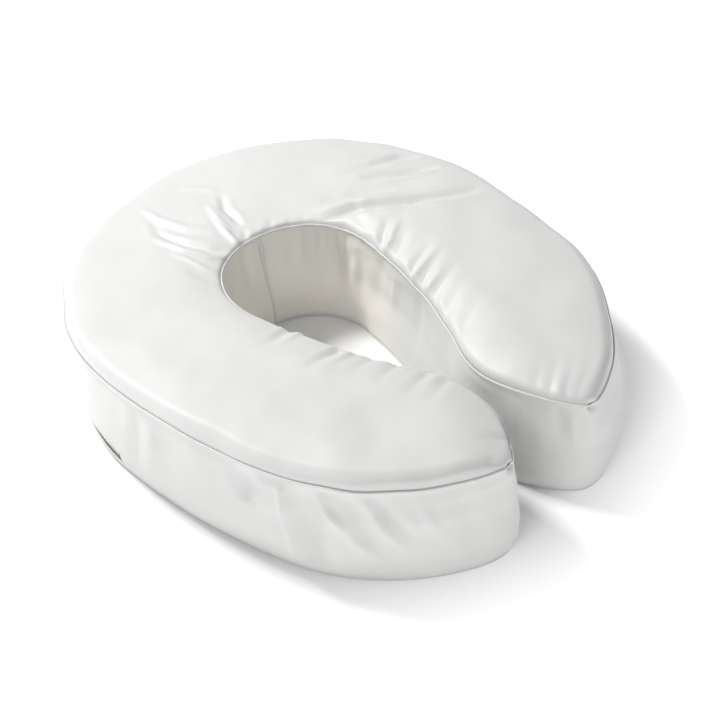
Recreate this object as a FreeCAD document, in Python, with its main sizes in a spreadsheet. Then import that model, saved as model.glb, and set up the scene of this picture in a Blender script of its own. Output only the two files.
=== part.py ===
"""Soft raised toilet seat: a keyhole-shaped foam cushion in a zipped cover, with four straps below.

Millimetres, +Z up. The origin is the middle of the cushion's length and width, at the base.
+Y is the rear of the seat and the slot between the two arms opens towards -Y.
"""
import FreeCAD, Part
import math
import os

from Sketcher import Constraint

os.makedirs("parts", exist_ok=True)

V = FreeCAD.Vector
UP = V(0, 0, 1)
DOWN = V(0, 0, -1)

# How Sketcher numbers the points of an arc or line, and its own two axes.
START, END, CENTRE = 1, 2, 3
X_AXIS, Y_AXIS = -1, -2

DIMENSIONS = [
    # outline, all measured at the seam beads
    ("overall_width", 351.0),
    ("overall_length", 436.0),
    ("shoulder_radius", 159.7),
    ("tip_spacing", 80.6),
    ("rear_depth", 121.0),
    ("hole_radius", 59.5),
    ("hole_side_radius", 422.3),
    ("flare_radius", 93.7),
    ("slot_width", 19.5),
    # heights
    ("seam_height", 84.0),
    ("seam_bead", 2.0),
    ("bead_proud", 0.8),
    ("crown_radius", 12.0),
    ("crown_edge", 0.01),
    # cover and core
    ("cover_thickness", 1.0),
    ("core_gap", 0.8),
    ("base_gap", 0.3),
    ("core_trim_over", 9.5),
    ("core_trim_depth", 6.0),
    ("join_angle", 8.0),
    ("join_width", 1.6),
    # zip, an arc round the rear
    ("zip_height", 12.5),
    ("zip_window", 11.0),
    ("zip_half_angle", 89.5),
    ("stop_angle", 87.0),
    ("stop_width", 1.0),
    ("upper_tape_width", 11.0),
    ("lower_tape_width", 8.0),
    ("tape_thickness", 0.5),
    ("coil_width", 2.4),
    ("coil_gap", 1.2),
    ("coil_thickness", 1.6),
    ("stitch_margin", 2.0),
    ("stitch_width", 0.6),
    ("stitch_proud", 0.4),
    # slider and puller
    ("stop_gap", 1.9),
    ("slider_length", 14.0),
    ("slider_width", 9.2),
    ("front_plate", 1.2),
    ("back_plate", 0.8),
    ("slider_gap", 0.4),
    ("slider_lip", 1.2),
    ("lip_width", 0.9),
    ("post_length", 4.0),
    ("post_width", 0.5),
    ("arch_length", 8.0),
    ("arch_width", 3.0),
    ("arch_leg", 1.0),
    ("arch_thickness", 1.0),
    ("puller_length", 27.0),
    ("puller_width", 7.0),
    ("puller_thickness", 1.2),
    ("puller_gap", 0.3),
    ("puller_window", 5.2),
    # straps, stowed in a shallow tray in each half of the base
    ("strap_width", 25.0),
    ("strap_tip_gap", 6.0),
    ("web_thickness", 1.6),
    ("pad_thickness", 0.8),
    ("pad_length", 50.0),
    ("pad_inset", 1.0),
    ("strap_gap", 4.0),
    ("strap_setback", 17.5),
    ("tray_edge", 8.0),
    ("tray_depth", 3.0),
    ("tray_margin", 1.5),
    ("strap_clearance", 0.3),
    ("tack_width", 2.0),
    ("tack_thickness", 1.0),
    ("tack_gap", 0.4),
    ("tack_inset", 1.5),
]

doc = FreeCAD.newDocument("raised_toilet_seat")
sheet = doc.addObject("Spreadsheet::Sheet", "dims")
for row, (alias, value) in enumerate(DIMENSIONS, start=1):
    sheet.set(f"A{row}", alias)
    sheet.set(f"B{row}", str(value))
    sheet.setAlias(f"B{row}", alias)
doc.recompute()


def dim(alias):
    """The value of one driving dimension."""
    return float(sheet.get(alias))


# Expressions in terms of the sheet that more than one piece uses.
FACE_INSET = "dims.bead_proud"
LINING_INSET = "(dims.bead_proud + dims.cover_thickness)"
CORE_INSET = "(dims.bead_proud + dims.cover_thickness + dims.core_gap)"
BASE_TOP = "dims.cover_thickness"
BAND_LOW = "(dims.cover_thickness + dims.seam_bead)"
BAND_HIGH = "dims.seam_height"
PANEL_LOW = "(dims.seam_height + dims.seam_bead)"
CROWN = "(dims.seam_height + dims.seam_bead + dims.crown_radius)"
REAR_CENTRE = "(dims.overall_length / 2 - dims.overall_width / 2)"
HOLE_CENTRE = "(dims.overall_length / 2 - dims.rear_depth - dims.hole_radius)"
REAR_RADIUS = "(dims.overall_width / 2)"
CORE_TRIM = "(dims.zip_height + dims.core_trim_over)"
ARM_WIDTH = "(dims.overall_width / 2 - dims.hole_radius)"
TRAY_MIDDLE = "((dims.overall_width / 2 + dims.hole_radius) / 2)"
TRAY_LENGTH = f"({ARM_WIDTH} - 2 * dims.tray_edge)"
STRAP_PLACE = f"({HOLE_CENTRE} - dims.strap_setback)"
STRAP_ROOT = "(dims.tack_inset + dims.tack_width + dims.tack_gap + dims.web_thickness / 2)"
STRAP_LENGTH = f"({TRAY_LENGTH} - {STRAP_ROOT} - dims.strap_tip_gap)"
SLIDER_ANGLE = ("(dims.stop_angle - dims.stop_width / 2"
                " - (dims.slider_length / 2 + dims.stop_gap) / dims.overall_width * 360 / pi)")
ZIP_LOW = "(dims.zip_height - dims.zip_window / 2)"
ZIP_HIGH = "(dims.zip_height + dims.zip_window / 2)"
TAPE_BACK = f"({LINING_INSET} + dims.tape_thickness)"
COIL_FRONT = f"({LINING_INSET} - dims.coil_thickness)"
HALF_GAP = "dims.coil_gap / 2"
PLATE_BACK = f"({REAR_RADIUS} - {COIL_FRONT} + dims.slider_gap)"
PLATE_FACE = f"({PLATE_BACK} + dims.front_plate)"
INNER_PLATE = f"({REAR_RADIUS} - {TAPE_BACK} - dims.slider_gap - dims.back_plate)"
PIN_LINE = f"({PLATE_FACE} + dims.puller_gap + dims.puller_thickness / 2)"
ARCH_UNDER = f"({PIN_LINE} + dims.puller_thickness / 2 + dims.puller_gap)"


def number(expression):
    """The present value of an expression over the sheet."""
    value = sheet.evalExpression(str(expression))
    return float(getattr(value, "Value", value))


def circles_meet(first, first_radius, second, second_radius, side):
    """The point where two circles cross, on the given side of the line between their centres."""
    between = second - first
    span = between.Length
    along = (first_radius ** 2 - second_radius ** 2 + span ** 2) / (2 * span)
    across = math.sqrt(first_radius ** 2 - along ** 2)
    ahead = between / span
    return first + ahead * along + V(-ahead.y, ahead.x, 0) * (across * side)


def outline_centres():
    """Centres of the right half's arcs, and the corner of the arm's tip, at the seam beads."""
    rear = V(0, number(REAR_CENTRE), 0)
    tip = V(dim("tip_spacing") / 2, -dim("overall_length") / 2, 0)
    round_off = dim("shoulder_radius")
    shoulder = V(0, tip.y + math.sqrt(round_off ** 2 - tip.x ** 2), 0)
    reach, drop = dim("overall_width") / 2, rear.y - shoulder.y
    side_radius = (reach ** 2 + drop ** 2 - round_off ** 2) / (2 * (reach - round_off))
    side = V(reach - side_radius, rear.y, 0)
    flare_x = dim("slot_width") / 2 + dim("flare_radius")
    flare = V(flare_x, tip.y + math.sqrt(dim("flare_radius") ** 2 - (flare_x - tip.x) ** 2), 0)
    hole = V(0, number(HOLE_CENTRE), 0)
    hole_side = circles_meet(hole, dim("hole_side_radius") - dim("hole_radius"),
                             flare, dim("hole_side_radius") + dim("flare_radius"), -1)
    return {"rear": rear, "side": side, "shoulder": shoulder, "tip": tip, "flare": flare,
            "hole_side": hole_side, "hole": hole, "side_radius": side_radius}


def mirrored(point):
    """The point on the other side of the seat."""
    return V(-point.x, point.y, point.z)


def arc_between(centre, radius, start, end):
    """A counterclockwise arc about a centre, from the direction of start to that of end."""
    angles = [math.atan2(point.y - centre.y, point.x - centre.x) for point in (start, end)]
    if angles[1] < angles[0]:
        angles[1] += 2 * math.pi
    return Part.ArcOfCircle(Part.Circle(centre, UP, radius), *angles)


def bind(sketch, index, expression, name):
    """Names a constraint and drives it from the sheet."""
    sketch.renameConstraint(index, name)
    sketch.setExpression(f"Constraints.{name}", expression)


def keyhole_outline(sketch, inset):
    """Draws the keyhole outline, moved into the material by inset, as arcs that meet smoothly.

    Each half has a side, a shoulder, a flare into the slot and a hole side. The rear and the
    hole's rear are one arc each, and the two arm tips are the only corners.
    """
    at = outline_centres()
    gap = number(inset)
    rear_radius = dim("overall_width") / 2 - gap
    shoulder_radius = dim("shoulder_radius") - gap
    flare_radius = dim("flare_radius") - gap
    meets = [circles_meet(at["shoulder"], shoulder_radius, at["flare"], flare_radius, turn)
             for turn in (-1, 1)]
    corner = min(meets, key=lambda point: (point - at["tip"]).Length)
    toward_side = at["rear"] + V(rear_radius, 0, 0)
    outward = (at["shoulder"] - at["side"]).normalize()
    side_radius = at["side_radius"] - gap
    toward_shoulder = at["side"] + outward * side_radius
    flare_way = (at["flare"] - at["hole_side"]).normalize()
    toward_flare = at["hole_side"] + flare_way * (dim("hole_side_radius") + gap)
    hole_way = (at["hole"] - at["hole_side"]).normalize()
    toward_hole = at["hole"] + hole_way * (dim("hole_radius") + gap)

    def add(arc):
        return sketch.addGeometry(arc, False)

    rear = add(arc_between(at["rear"], rear_radius, toward_side, mirrored(toward_side)))
    hole = add(arc_between(at["hole"], dim("hole_radius") + gap, toward_hole, mirrored(toward_hole)))

    def rule(*words):
        return sketch.addConstraint(Constraint(*words))

    rule("PointOnObject", rear, CENTRE, Y_AXIS)
    rule("PointOnObject", hole, CENTRE, Y_AXIS)
    bind(sketch, rule("Radius", rear, rear_radius), f"{REAR_RADIUS} - {inset}", "rear_radius")
    bind(sketch, rule("Radius", hole, dim("hole_radius") + gap),
         f"dims.hole_radius + {inset}", "hole_radius")
    bind(sketch, rule("DistanceY", X_AXIS, START, rear, CENTRE, at["rear"].y), REAR_CENTRE, "rear_centre")
    bind(sketch, rule("DistanceY", X_AXIS, START, hole, CENTRE, at["hole"].y), HOLE_CENTRE, "hole_centre")

    for hand, sign in (("right", 1), ("left", -1)):
        place = (lambda point: point) if sign > 0 else mirrored

        def half_arc(name, radius, begin, finish):
            ends = (place(begin), place(finish))
            return add(arc_between(place(at[name]), radius, *(ends if sign > 0 else ends[::-1])))

        first, last = (START, END) if sign > 0 else (END, START)
        side = half_arc("side", side_radius, toward_shoulder, toward_side)
        shoulder = half_arc("shoulder", shoulder_radius, corner, toward_shoulder)
        flare = half_arc("flare", flare_radius, toward_flare, corner)
        hole_side = half_arc("hole_side", dim("hole_side_radius") + gap, toward_flare, toward_hole)
        tip = sketch.addGeometry(Part.Point(place(at["tip"])), True)
        rule("Tangent", rear, first, side, last)
        rule("Tangent", side, first, shoulder, last)
        rule("Coincident", shoulder, first, flare, last)
        rule("Tangent", flare, first, hole_side, first)
        rule("Tangent", hole_side, last, hole, first)
        rule("Horizontal", side, CENTRE, rear, CENTRE)
        rule("PointOnObject", shoulder, CENTRE, Y_AXIS)
        for label, arc, radius, words in (
                ("shoulder", shoulder, shoulder_radius, f"dims.shoulder_radius - {inset}"),
                ("flare", flare, flare_radius, f"dims.flare_radius - {inset}"),
                ("hole_side", hole_side, dim("hole_side_radius") + gap,
                 f"dims.hole_side_radius + {inset}")):
            bind(sketch, rule("Radius", arc, radius), words, f"{hand}_{label}_radius")
        tip_x, tip_y = dim("tip_spacing") / 2, dim("overall_length") / 2
        span = (X_AXIS, START, tip, START) if sign > 0 else (tip, START, X_AXIS, START)
        bind(sketch, rule("DistanceX", *span, tip_x), "dims.tip_spacing / 2", f"{hand}_tip_x")
        bind(sketch, rule("DistanceY", tip, START, X_AXIS, START, tip_y),
             "dims.overall_length / 2", f"{hand}_tip_y")
        bind(sketch, rule("Distance", tip, START, shoulder, CENTRE, dim("shoulder_radius")),
             "dims.shoulder_radius", f"{hand}_tip_to_shoulder")
        bind(sketch, rule("Distance", tip, START, flare, CENTRE, dim("flare_radius")),
             "dims.flare_radius", f"{hand}_tip_to_flare")
        flare_x = dim("slot_width") / 2 + dim("flare_radius")
        span = (X_AXIS, START, flare, CENTRE) if sign > 0 else (flare, CENTRE, X_AXIS, START)
        bind(sketch, rule("DistanceX", *span, flare_x),
             "dims.slot_width / 2 + dims.flare_radius", f"{hand}_flare_x")


def origin_plane(body, role):
    """One of a body's own origin planes."""
    return next(plane for plane in body.Origin.OriginFeatures if plane.Role == role)


def new_body(name):
    """A PartDesign body with its own label."""
    body = doc.addObject("PartDesign::Body", name)
    body.Label = name
    return body


def new_sketch(body, name, role, height=None):
    """A sketch on one of the body's origin planes, raised by the height expression."""
    sketch = body.newObject("Sketcher::SketchObject", name)
    sketch.AttachmentSupport = [(origin_plane(body, role), "")]
    sketch.MapMode = "FlatFace"
    if height is not None:
        sketch.setExpression("AttachmentOffset.Base.z", str(height))
    return sketch


def keyhole_slab(name, inset, low, high):
    """A body holding one upright slab of the keyhole outline, from low to high."""
    body = new_body(name)
    sketch = new_sketch(body, f"{name}_outline", "XY_Plane", low)
    keyhole_outline(sketch, inset)
    pad = body.newObject("PartDesign::Pad", f"{name}_pad")
    pad.Profile = sketch
    pad.setExpression("Length", f"{high} - {low}")
    body.Tip = pad
    doc.recompute()
    return body


def face_at(shape, height):
    """The name of the level face at a height."""
    for index, face in enumerate(shape.Faces, start=1):
        level = isinstance(face.Surface, Part.Plane) and abs(face.Surface.Axis.z) > 0.99
        if level and abs(face.Surface.Position.z - height) < 1e-3:
            return f"Face{index}"
    raise ValueError("no level face at that height")


def round_edge(body, height, radius):
    """Rounds the whole edge of the level face at a height."""
    solid = body.Tip
    fillet = body.newObject("PartDesign::Fillet", f"{body.Name}_round")
    fillet.Base = (solid, [face_at(solid.Shape, number(height))])
    fillet.setExpression("Radius", radius)
    body.Tip = fillet
    doc.recompute()


def cut(name, base, tool):
    """One solid with another taken away."""
    result = doc.addObject("Part::Cut", name)
    result.Base = base
    result.Tool = tool
    result.Label = name
    doc.recompute()
    if not result.Shape.Volume < base.Shape.Volume - 1e-3:
        raise ValueError(f"{name}: the cut took nothing away")
    return result


def fuse(name, *pieces):
    """Several solids joined into one."""
    result = doc.addObject("Part::MultiFuse", name)
    result.Shapes = list(pieces)
    result.Refine = True
    result.Label = name
    doc.recompute()
    return result


def compound(name, *solids):
    """Several separate solids kept as one piece."""
    group = doc.addObject("Part::Compound", name)
    group.Links = list(solids)
    group.Label = name
    doc.recompute()
    return group


def keyhole_ring(name, inner_inset, low, high, outer_inset):
    """A band of constant thickness that follows the keyhole outline."""
    outer = keyhole_slab(f"{name}_outer", outer_inset, low, high)
    inner = keyhole_slab(f"{name}_inner", inner_inset, low, high)
    return cut(name, outer, inner)


def box(name, corner, sizes):
    """A box from expressions for its lowest corner and its three sizes."""
    block = doc.addObject("Part::Box", name)
    block.Label = name
    for axis, place in zip("xyz", corner):
        block.setExpression(f"Placement.Base.{axis}", str(place))
    for side, size in zip(("Length", "Width", "Height"), sizes):
        block.setExpression(side, str(size))
    return block


PIECES = []


def piece(node):
    """Lists an object as one of the seat's physical pieces."""
    PIECES.append(node)
    return node


def rear_arc(name, inset_out, inset_in, low, high, half_angle, middle="0"):
    """A strip that follows the rear of the seat, between two insets and two heights.

    It is a rectangle turned about the rear arc's centre, half_angle to each side of the middle.
    """
    body = new_body(name)
    sketch = new_sketch(body, f"{name}_section", "YZ_Plane")
    radius = number(REAR_RADIUS)
    near, far = radius - number(inset_in), radius - number(inset_out)
    bottom, top = number(low), number(high)
    corners = [V(near, bottom, 0), V(far, bottom, 0), V(far, top, 0), V(near, top, 0)]
    for index in range(4):
        sketch.addGeometry(Part.LineSegment(corners[index], corners[(index + 1) % 4]), False)
    for index in range(4):
        sketch.addConstraint(Constraint("Coincident", index, END, (index + 1) % 4, START))
    for index, way in enumerate(("Horizontal", "Vertical", "Horizontal", "Vertical")):
        sketch.addConstraint(Constraint(way, index))
    foot, upright = 0, 2
    for words, expression, label in (
            (("DistanceX", foot, START, near), f"{REAR_RADIUS} - {inset_in}", "near"),
            (("DistanceX", foot, END, far), f"{REAR_RADIUS} - {inset_out}", "far"),
            (("DistanceY", foot, START, bottom), low, "bottom"),
            (("DistanceY", upright, START, top), high, "top")):
        way, line, end, size = words
        rule = Constraint(way, X_AXIS, START, line, end, size)
        bind(sketch, sketch.addConstraint(rule), str(expression), label)
    turn = body.newObject("PartDesign::Revolution", f"{name}_turn")
    turn.Profile = sketch
    turn.ReferenceAxis = (sketch, ["V_Axis"])
    turn.Midplane = True
    turn.setExpression("Angle", f"2 * {half_angle}")
    body.Tip = turn
    body.setExpression("Placement.Base.y", REAR_CENTRE)
    body.Placement.Rotation = FreeCAD.Rotation(UP, -number(middle))
    doc.recompute()
    return body


def build_cover():
    """The top panel, the band with its zip window, the base and the seams between them."""
    dome = keyhole_slab("top_panel_outside", FACE_INSET, PANEL_LOW, CROWN)
    round_edge(dome, CROWN, "dims.crown_radius - dims.crown_edge")
    underside = f"({CROWN} - dims.cover_thickness)"
    hollow = keyhole_slab("top_panel_inside", LINING_INSET, PANEL_LOW, underside)
    round_edge(hollow, underside, "dims.crown_radius - dims.cover_thickness - dims.crown_edge")
    piece(cut("top_panel", dome, hollow))
    piece(keyhole_ring("top_seam", LINING_INSET, BAND_HIGH, PANEL_LOW, 0))
    piece(keyhole_ring("base_seam", LINING_INSET, BASE_TOP, BAND_LOW, 0))

    strip = keyhole_ring("band_strip", LINING_INSET, BAND_LOW, BAND_HIGH, FACE_INSET)
    window = rear_arc("zip_window", 0, f"({LINING_INSET} + 1)", "0", ZIP_HIGH, "dims.zip_half_angle")
    opened = cut("band_opened", strip, window)
    slit = join_block("band_slit", "1")
    piece(cut("side_band", opened, slit))
    piece(join_block("band_join_seam", "0"))
    piece(rear_arc("lower_band_strip", FACE_INSET, LINING_INSET, BAND_LOW, ZIP_LOW,
                   "dims.zip_half_angle"))


def join_block(name, spare):
    """The upright join in the hole's rear wall, longer and deeper by spare on each side."""
    block = doc.addObject("Part::Box", name)
    block.Label = name
    block.setExpression("Length", "dims.join_width")
    block.setExpression("Width", f"{LINING_INSET} + {spare} * 2 + dims.base_gap")
    block.setExpression("Height", f"{BAND_HIGH} - {BAND_LOW} + 2 * {spare}")
    block.Placement.Rotation = FreeCAD.Rotation(DOWN, dim("join_angle"))
    block.setExpression("Placement.Rotation.Angle", "dims.join_angle")
    reach = f"(dims.hole_radius - {spare})"
    block.setExpression("Placement.Base.x", f"{reach} * sin(dims.join_angle * 1deg)"
                        f" - dims.join_width / 2 * cos(dims.join_angle * 1deg)")
    block.setExpression("Placement.Base.y", f"{HOLE_CENTRE} + {reach} * cos(dims.join_angle * 1deg)"
                        f" + dims.join_width / 2 * sin(dims.join_angle * 1deg)")
    block.setExpression("Placement.Base.z", f"{BAND_LOW} - {spare}")
    doc.recompute()
    return block


def build_zip():
    """Tapes, coils, stops and stitching, all arcs about the rear arc's centre."""
    half = "dims.zip_half_angle"
    for name, sign in (("upper", 1), ("lower", -1)):
        def span(near, far):
            ends = [f"(dims.zip_height + {sign} * ({edge}))" for edge in (near, far)]
            return ends if sign > 0 else ends[::-1]

        piece(rear_arc(f"zip_tape_{name}", LINING_INSET, TAPE_BACK,
                       *span(HALF_GAP, f"{HALF_GAP} + dims.{name}_tape_width"), half))
        piece(rear_arc(f"zip_coil_{name}", COIL_FRONT, LINING_INSET,
                       *span(HALF_GAP, f"{HALF_GAP} + dims.coil_width"),
                       "(dims.stop_angle - dims.stop_width / 2)"))
        edge = "dims.zip_window / 2 + dims.stitch_margin"
        piece(rear_arc(f"zip_stitching_{name}", f"({FACE_INSET} - dims.stitch_proud)", FACE_INSET,
                       *span(edge, f"{edge} + dims.stitch_width"), half))
    low = f"(dims.zip_height - {HALF_GAP} - dims.coil_width)"
    high = f"(dims.zip_height + {HALF_GAP} + dims.coil_width)"
    piece(rear_arc("zip_bottom_stop", COIL_FRONT, LINING_INSET, low, high,
                   "(dims.stop_width / 2)", "-dims.stop_angle"))
    lower = rear_arc("top_stop_lower", COIL_FRONT, LINING_INSET, low,
                     f"(dims.zip_height - {HALF_GAP})", "(dims.stop_width / 2)", "dims.stop_angle")
    upper = rear_arc("top_stop_upper", COIL_FRONT, LINING_INSET, f"(dims.zip_height + {HALF_GAP})",
                     high, "(dims.stop_width / 2)", "dims.stop_angle")
    piece(compound("zip_top_stops", lower, upper))


def set_on_rear(node):
    """Turns a solid that is modelled on +X about the rear arc's centre, to the slider's place."""
    node.Placement.Rotation = FreeCAD.Rotation(UP, 90 - number(SLIDER_ANGLE))
    node.setExpression("Placement.Base.y", REAR_CENTRE)
    node.setExpression("Placement.Rotation.Angle", f"90 - {SLIDER_ANGLE}")
    doc.recompute()
    return node


def build_slider():
    """The slider: two plates joined by a post between the coils, two lips and the arch."""
    low = "dims.zip_height - dims.slider_width / 2"
    start = "-dims.slider_length / 2"
    parts = [
        box("slider_front", (PLATE_BACK, start, low),
            ("dims.front_plate", "dims.slider_length", "dims.slider_width")),
        box("slider_back", (INNER_PLATE, start, low),
            ("dims.back_plate", "dims.slider_length", "dims.slider_width")),
        box("slider_post", (INNER_PLATE, "-dims.post_length / 2", "dims.zip_height - dims.post_width / 2"),
            (f"{PLATE_FACE} - {INNER_PLATE}", "dims.post_length", "dims.post_width")),
        box("slider_arch_top", (ARCH_UNDER, "-dims.arch_length / 2",
                                "dims.zip_height - dims.arch_width / 2"),
            ("dims.arch_thickness", "dims.arch_length", "dims.arch_width")),
    ]
    for name, edge in (("low", low), ("high", f"{low} + dims.slider_width - dims.lip_width")):
        parts.append(box(f"slider_lip_{name}", (f"{PLATE_BACK} - dims.slider_lip", start, edge),
                         ("dims.slider_lip", "dims.slider_length", "dims.lip_width")))
    for name, edge in (("front", "-dims.arch_length / 2"),
                       ("rear", "dims.arch_length / 2 - dims.arch_leg")):
        parts.append(box(f"slider_leg_{name}", (PLATE_FACE, edge,
                                                "dims.zip_height - dims.arch_width / 2"),
                         (f"{ARCH_UNDER} - {PLATE_FACE}", "dims.arch_leg", "dims.arch_width")))
    piece(set_on_rear(fuse("zip_slider", *parts)))


def build_puller():
    """The puller: a pin that turns below the slider's arch, and a tab with a window round the arch."""
    thick = "dims.puller_thickness"
    low = "dims.zip_height - dims.puller_width / 2"
    tab = box("puller_tab", (f"{PIN_LINE} - {thick} / 2", "-dims.puller_length", low),
              (thick, "dims.puller_length", "dims.puller_width"))
    opening = "dims.arch_width + 2 * dims.puller_gap"
    window = box("puller_opening", (f"{PIN_LINE} - {thick}",
                                    f"-{thick} / 2 - dims.puller_window",
                                    f"dims.zip_height - ({opening}) / 2"),
                 (f"2 * {thick}", f"dims.puller_window + 2 * {thick}", opening))
    frame = cut("puller_frame", tab, window)
    pin = doc.addObject("Part::Cylinder", "puller_pin")
    pin.setExpression("Radius", f"{thick} / 2")
    pin.setExpression("Height", "dims.puller_width")
    pin.setExpression("Placement.Base.x", PIN_LINE)
    pin.setExpression("Placement.Base.z", low)
    doc.recompute()
    piece(set_on_rear(fuse("zip_puller", frame, pin)))


def tray_box(name, hand, wall, low, high):
    """The tray's rectangle in one arm of the base, wider by a wall all round."""
    length = f"({TRAY_LENGTH} + 2 * ({wall}))"
    width = f"(2 * dims.strap_width + dims.strap_gap + 2 * (dims.tray_margin + {wall}))"
    start = f"{hand} * {TRAY_MIDDLE} - {length} / 2"
    return box(name, (start, f"{STRAP_PLACE} - {width} / 2", low),
               (length, width, f"{high} - ({low})"))


def build_base():
    """The underside sheet, pressed up into a shallow tray in each arm where the straps lie flat."""
    sheet_face = keyhole_slab("base_sheet", FACE_INSET, "0", BASE_TOP)
    pans = [tray_box(f"pan_{name}", hand, "dims.cover_thickness", "0",
                     "(dims.tray_depth + dims.cover_thickness)")
            for name, hand in (("right", 1), ("left", -1))]
    pressed = fuse("base_pressed", sheet_face, *pans)
    for name, hand in (("right", 1), ("left", -1)):
        recess = tray_box(f"tray_{name}", hand, "0", "-1", "dims.tray_depth")
        pressed = cut("base_panel" if hand < 0 else "base_half", pressed, recess)
    piece(pressed)


def build_core():
    """The foam block: rounded at the crown, sloped in low down behind the zip, cut round the trays."""
    low = "(dims.cover_thickness + dims.base_gap)"
    knee = f"({low} + {CORE_TRIM})"
    high = f"({CROWN} - dims.cover_thickness - dims.base_gap)"
    block = keyhole_slab("core_block", CORE_INSET, knee, high)
    round_edge(block, high, "dims.crown_radius - dims.cover_thickness - dims.core_gap")
    foot = new_sketch(block, "core_foot_outline", "XY_Plane", low)
    keyhole_outline(foot, f"({CORE_INSET} + dims.core_trim_depth)")
    waist = new_sketch(block, "core_waist_outline", "XY_Plane", knee)
    keyhole_outline(waist, CORE_INSET)
    slope = block.newObject("PartDesign::AdditiveLoft", "core_foot")
    slope.Profile = foot
    slope.Sections = [waist]
    slope.Ruled = True
    block.Tip = slope
    doc.recompute()
    wall = "(dims.cover_thickness + dims.base_gap)"
    core = block
    for name, hand in (("right", 1), ("left", -1)):
        relief = tray_box(f"core_relief_{name}", hand, wall, "0", f"(dims.tray_depth + {wall})")
        core = cut("foam_core" if hand < 0 else "core_half", core, relief)
    piece(core)


def build_strap(side, hand, place, lean):
    """One webbing strap with its pad and its thread bar.

    side and place name it, hand is +1 for the right arm, and lean is +1 for the strap that is
    sewn at the outer edge and -1 for the one that is sewn at the hole's edge.
    """
    name = f"strap_{side}_{place}"
    way = hand * lean
    middle = f"({TRAY_MIDDLE} * {hand})"
    root_edge = f"({middle} + {way} * ({TRAY_LENGTH} / 2 - dims.tack_inset - dims.tack_width))"
    axis_x = f"({root_edge} - {way} * (dims.tack_gap + dims.web_thickness / 2))"
    if lean > 0:
        web_low = "(dims.tray_depth - dims.strap_clearance - dims.web_thickness)"
        pad_low = f"({web_low} - dims.pad_thickness)"
    else:
        web_low = "dims.strap_clearance"
        pad_low = "(dims.strap_clearance + dims.web_thickness)"
    across = f"({STRAP_PLACE} + {lean} * (dims.strap_width + dims.strap_gap) / 2)"
    side_y = f"({across} - dims.strap_width / 2)"

    def along(near, far):
        """The lower x end of a stretch that is measured from the root towards the free end."""
        return f"({axis_x} - {far})" if way > 0 else f"({axis_x} + {near})"

    web = box(f"{name}_web", (along("0", STRAP_LENGTH), side_y, web_low),
              (STRAP_LENGTH, "dims.strap_width", "dims.web_thickness"))
    root = doc.addObject("Part::Cylinder", f"{name}_root")
    root.setExpression("Radius", "dims.web_thickness / 2")
    root.setExpression("Height", "dims.strap_width")
    root.Placement.Rotation = FreeCAD.Rotation(V(1, 0, 0), -90)
    for axis, expression in (("x", axis_x), ("y", side_y),
                             ("z", f"{web_low} + dims.web_thickness / 2")):
        root.setExpression(f"Placement.Base.{axis}", expression)
    doc.recompute()
    piece(fuse(name, web, root))
    kind = "loop" if lean > 0 else "hook"
    pad_far = f"({STRAP_LENGTH} - dims.pad_inset)"
    pad_near = f"({pad_far} - dims.pad_length)"
    piece(box(f"{kind}_pad_{side}", (along(pad_near, pad_far), f"{side_y} + dims.pad_inset", pad_low),
              ("dims.pad_length", "dims.strap_width - 2 * dims.pad_inset", "dims.pad_thickness")))
    tack_x = root_edge if way > 0 else f"({root_edge} - dims.tack_width)"
    piece(box(f"{name}_tack", (tack_x, f"{side_y} + dims.pad_inset",
                               "dims.tray_depth - dims.tack_thickness"),
              ("dims.tack_width", "dims.strap_width - 2 * dims.pad_inset", "dims.tack_thickness")))


def check_document():
    """Stops before anything is written if an object failed or a piece is not a sound solid."""
    doc.recompute()
    for item in doc.Objects:
        if "Invalid" in item.State or "Error" in item.State:
            raise RuntimeError(f"{item.Label} did not compute: {item.State}")
    for node in PIECES:
        if node.Shape.isNull() or not node.Shape.isValid() or not node.Shape.Solids:
            raise RuntimeError(f"{node.Label} is not a sound solid")


def write_pieces():
    """Writes each piece to its own STEP file and prints its size."""
    for node in PIECES:
        node.Shape.exportStep(f"parts/{node.Label}.step")
        box_size = node.Shape.BoundBox
        print(f"{node.Label:28s} {len(node.Shape.Solids)} solid(s) {node.Shape.Volume:12.1f} mm3 "
              f"x {box_size.XMin:8.2f} {box_size.XMax:8.2f}  y {box_size.YMin:8.2f} {box_size.YMax:8.2f}"
              f"  z {box_size.ZMin:7.2f} {box_size.ZMax:7.2f}")


build_cover()
build_base()
build_core()
build_zip()
build_slider()
build_puller()
for side_name, side_hand in (("right", 1), ("left", -1)):
    build_strap(side_name, side_hand, "outer", 1)
    build_strap(side_name, side_hand, "inner", -1)
check_document()
write_pieces()
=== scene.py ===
"""Soft raised toilet seat: a foam cushion in a coated-fabric cover with a low zip and four straps.

Everything is in metres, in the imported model's own frame: +Z up, +Y to the rear of the seat, the
slot between the two arms opens towards -Y.
"""
import logging
import math
from collections.abc import Callable
from dataclasses import dataclass, field
from enum import Enum

import bmesh
import bpy
import numpy as np
from mathutils import Matrix, Vector, noise


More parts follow.
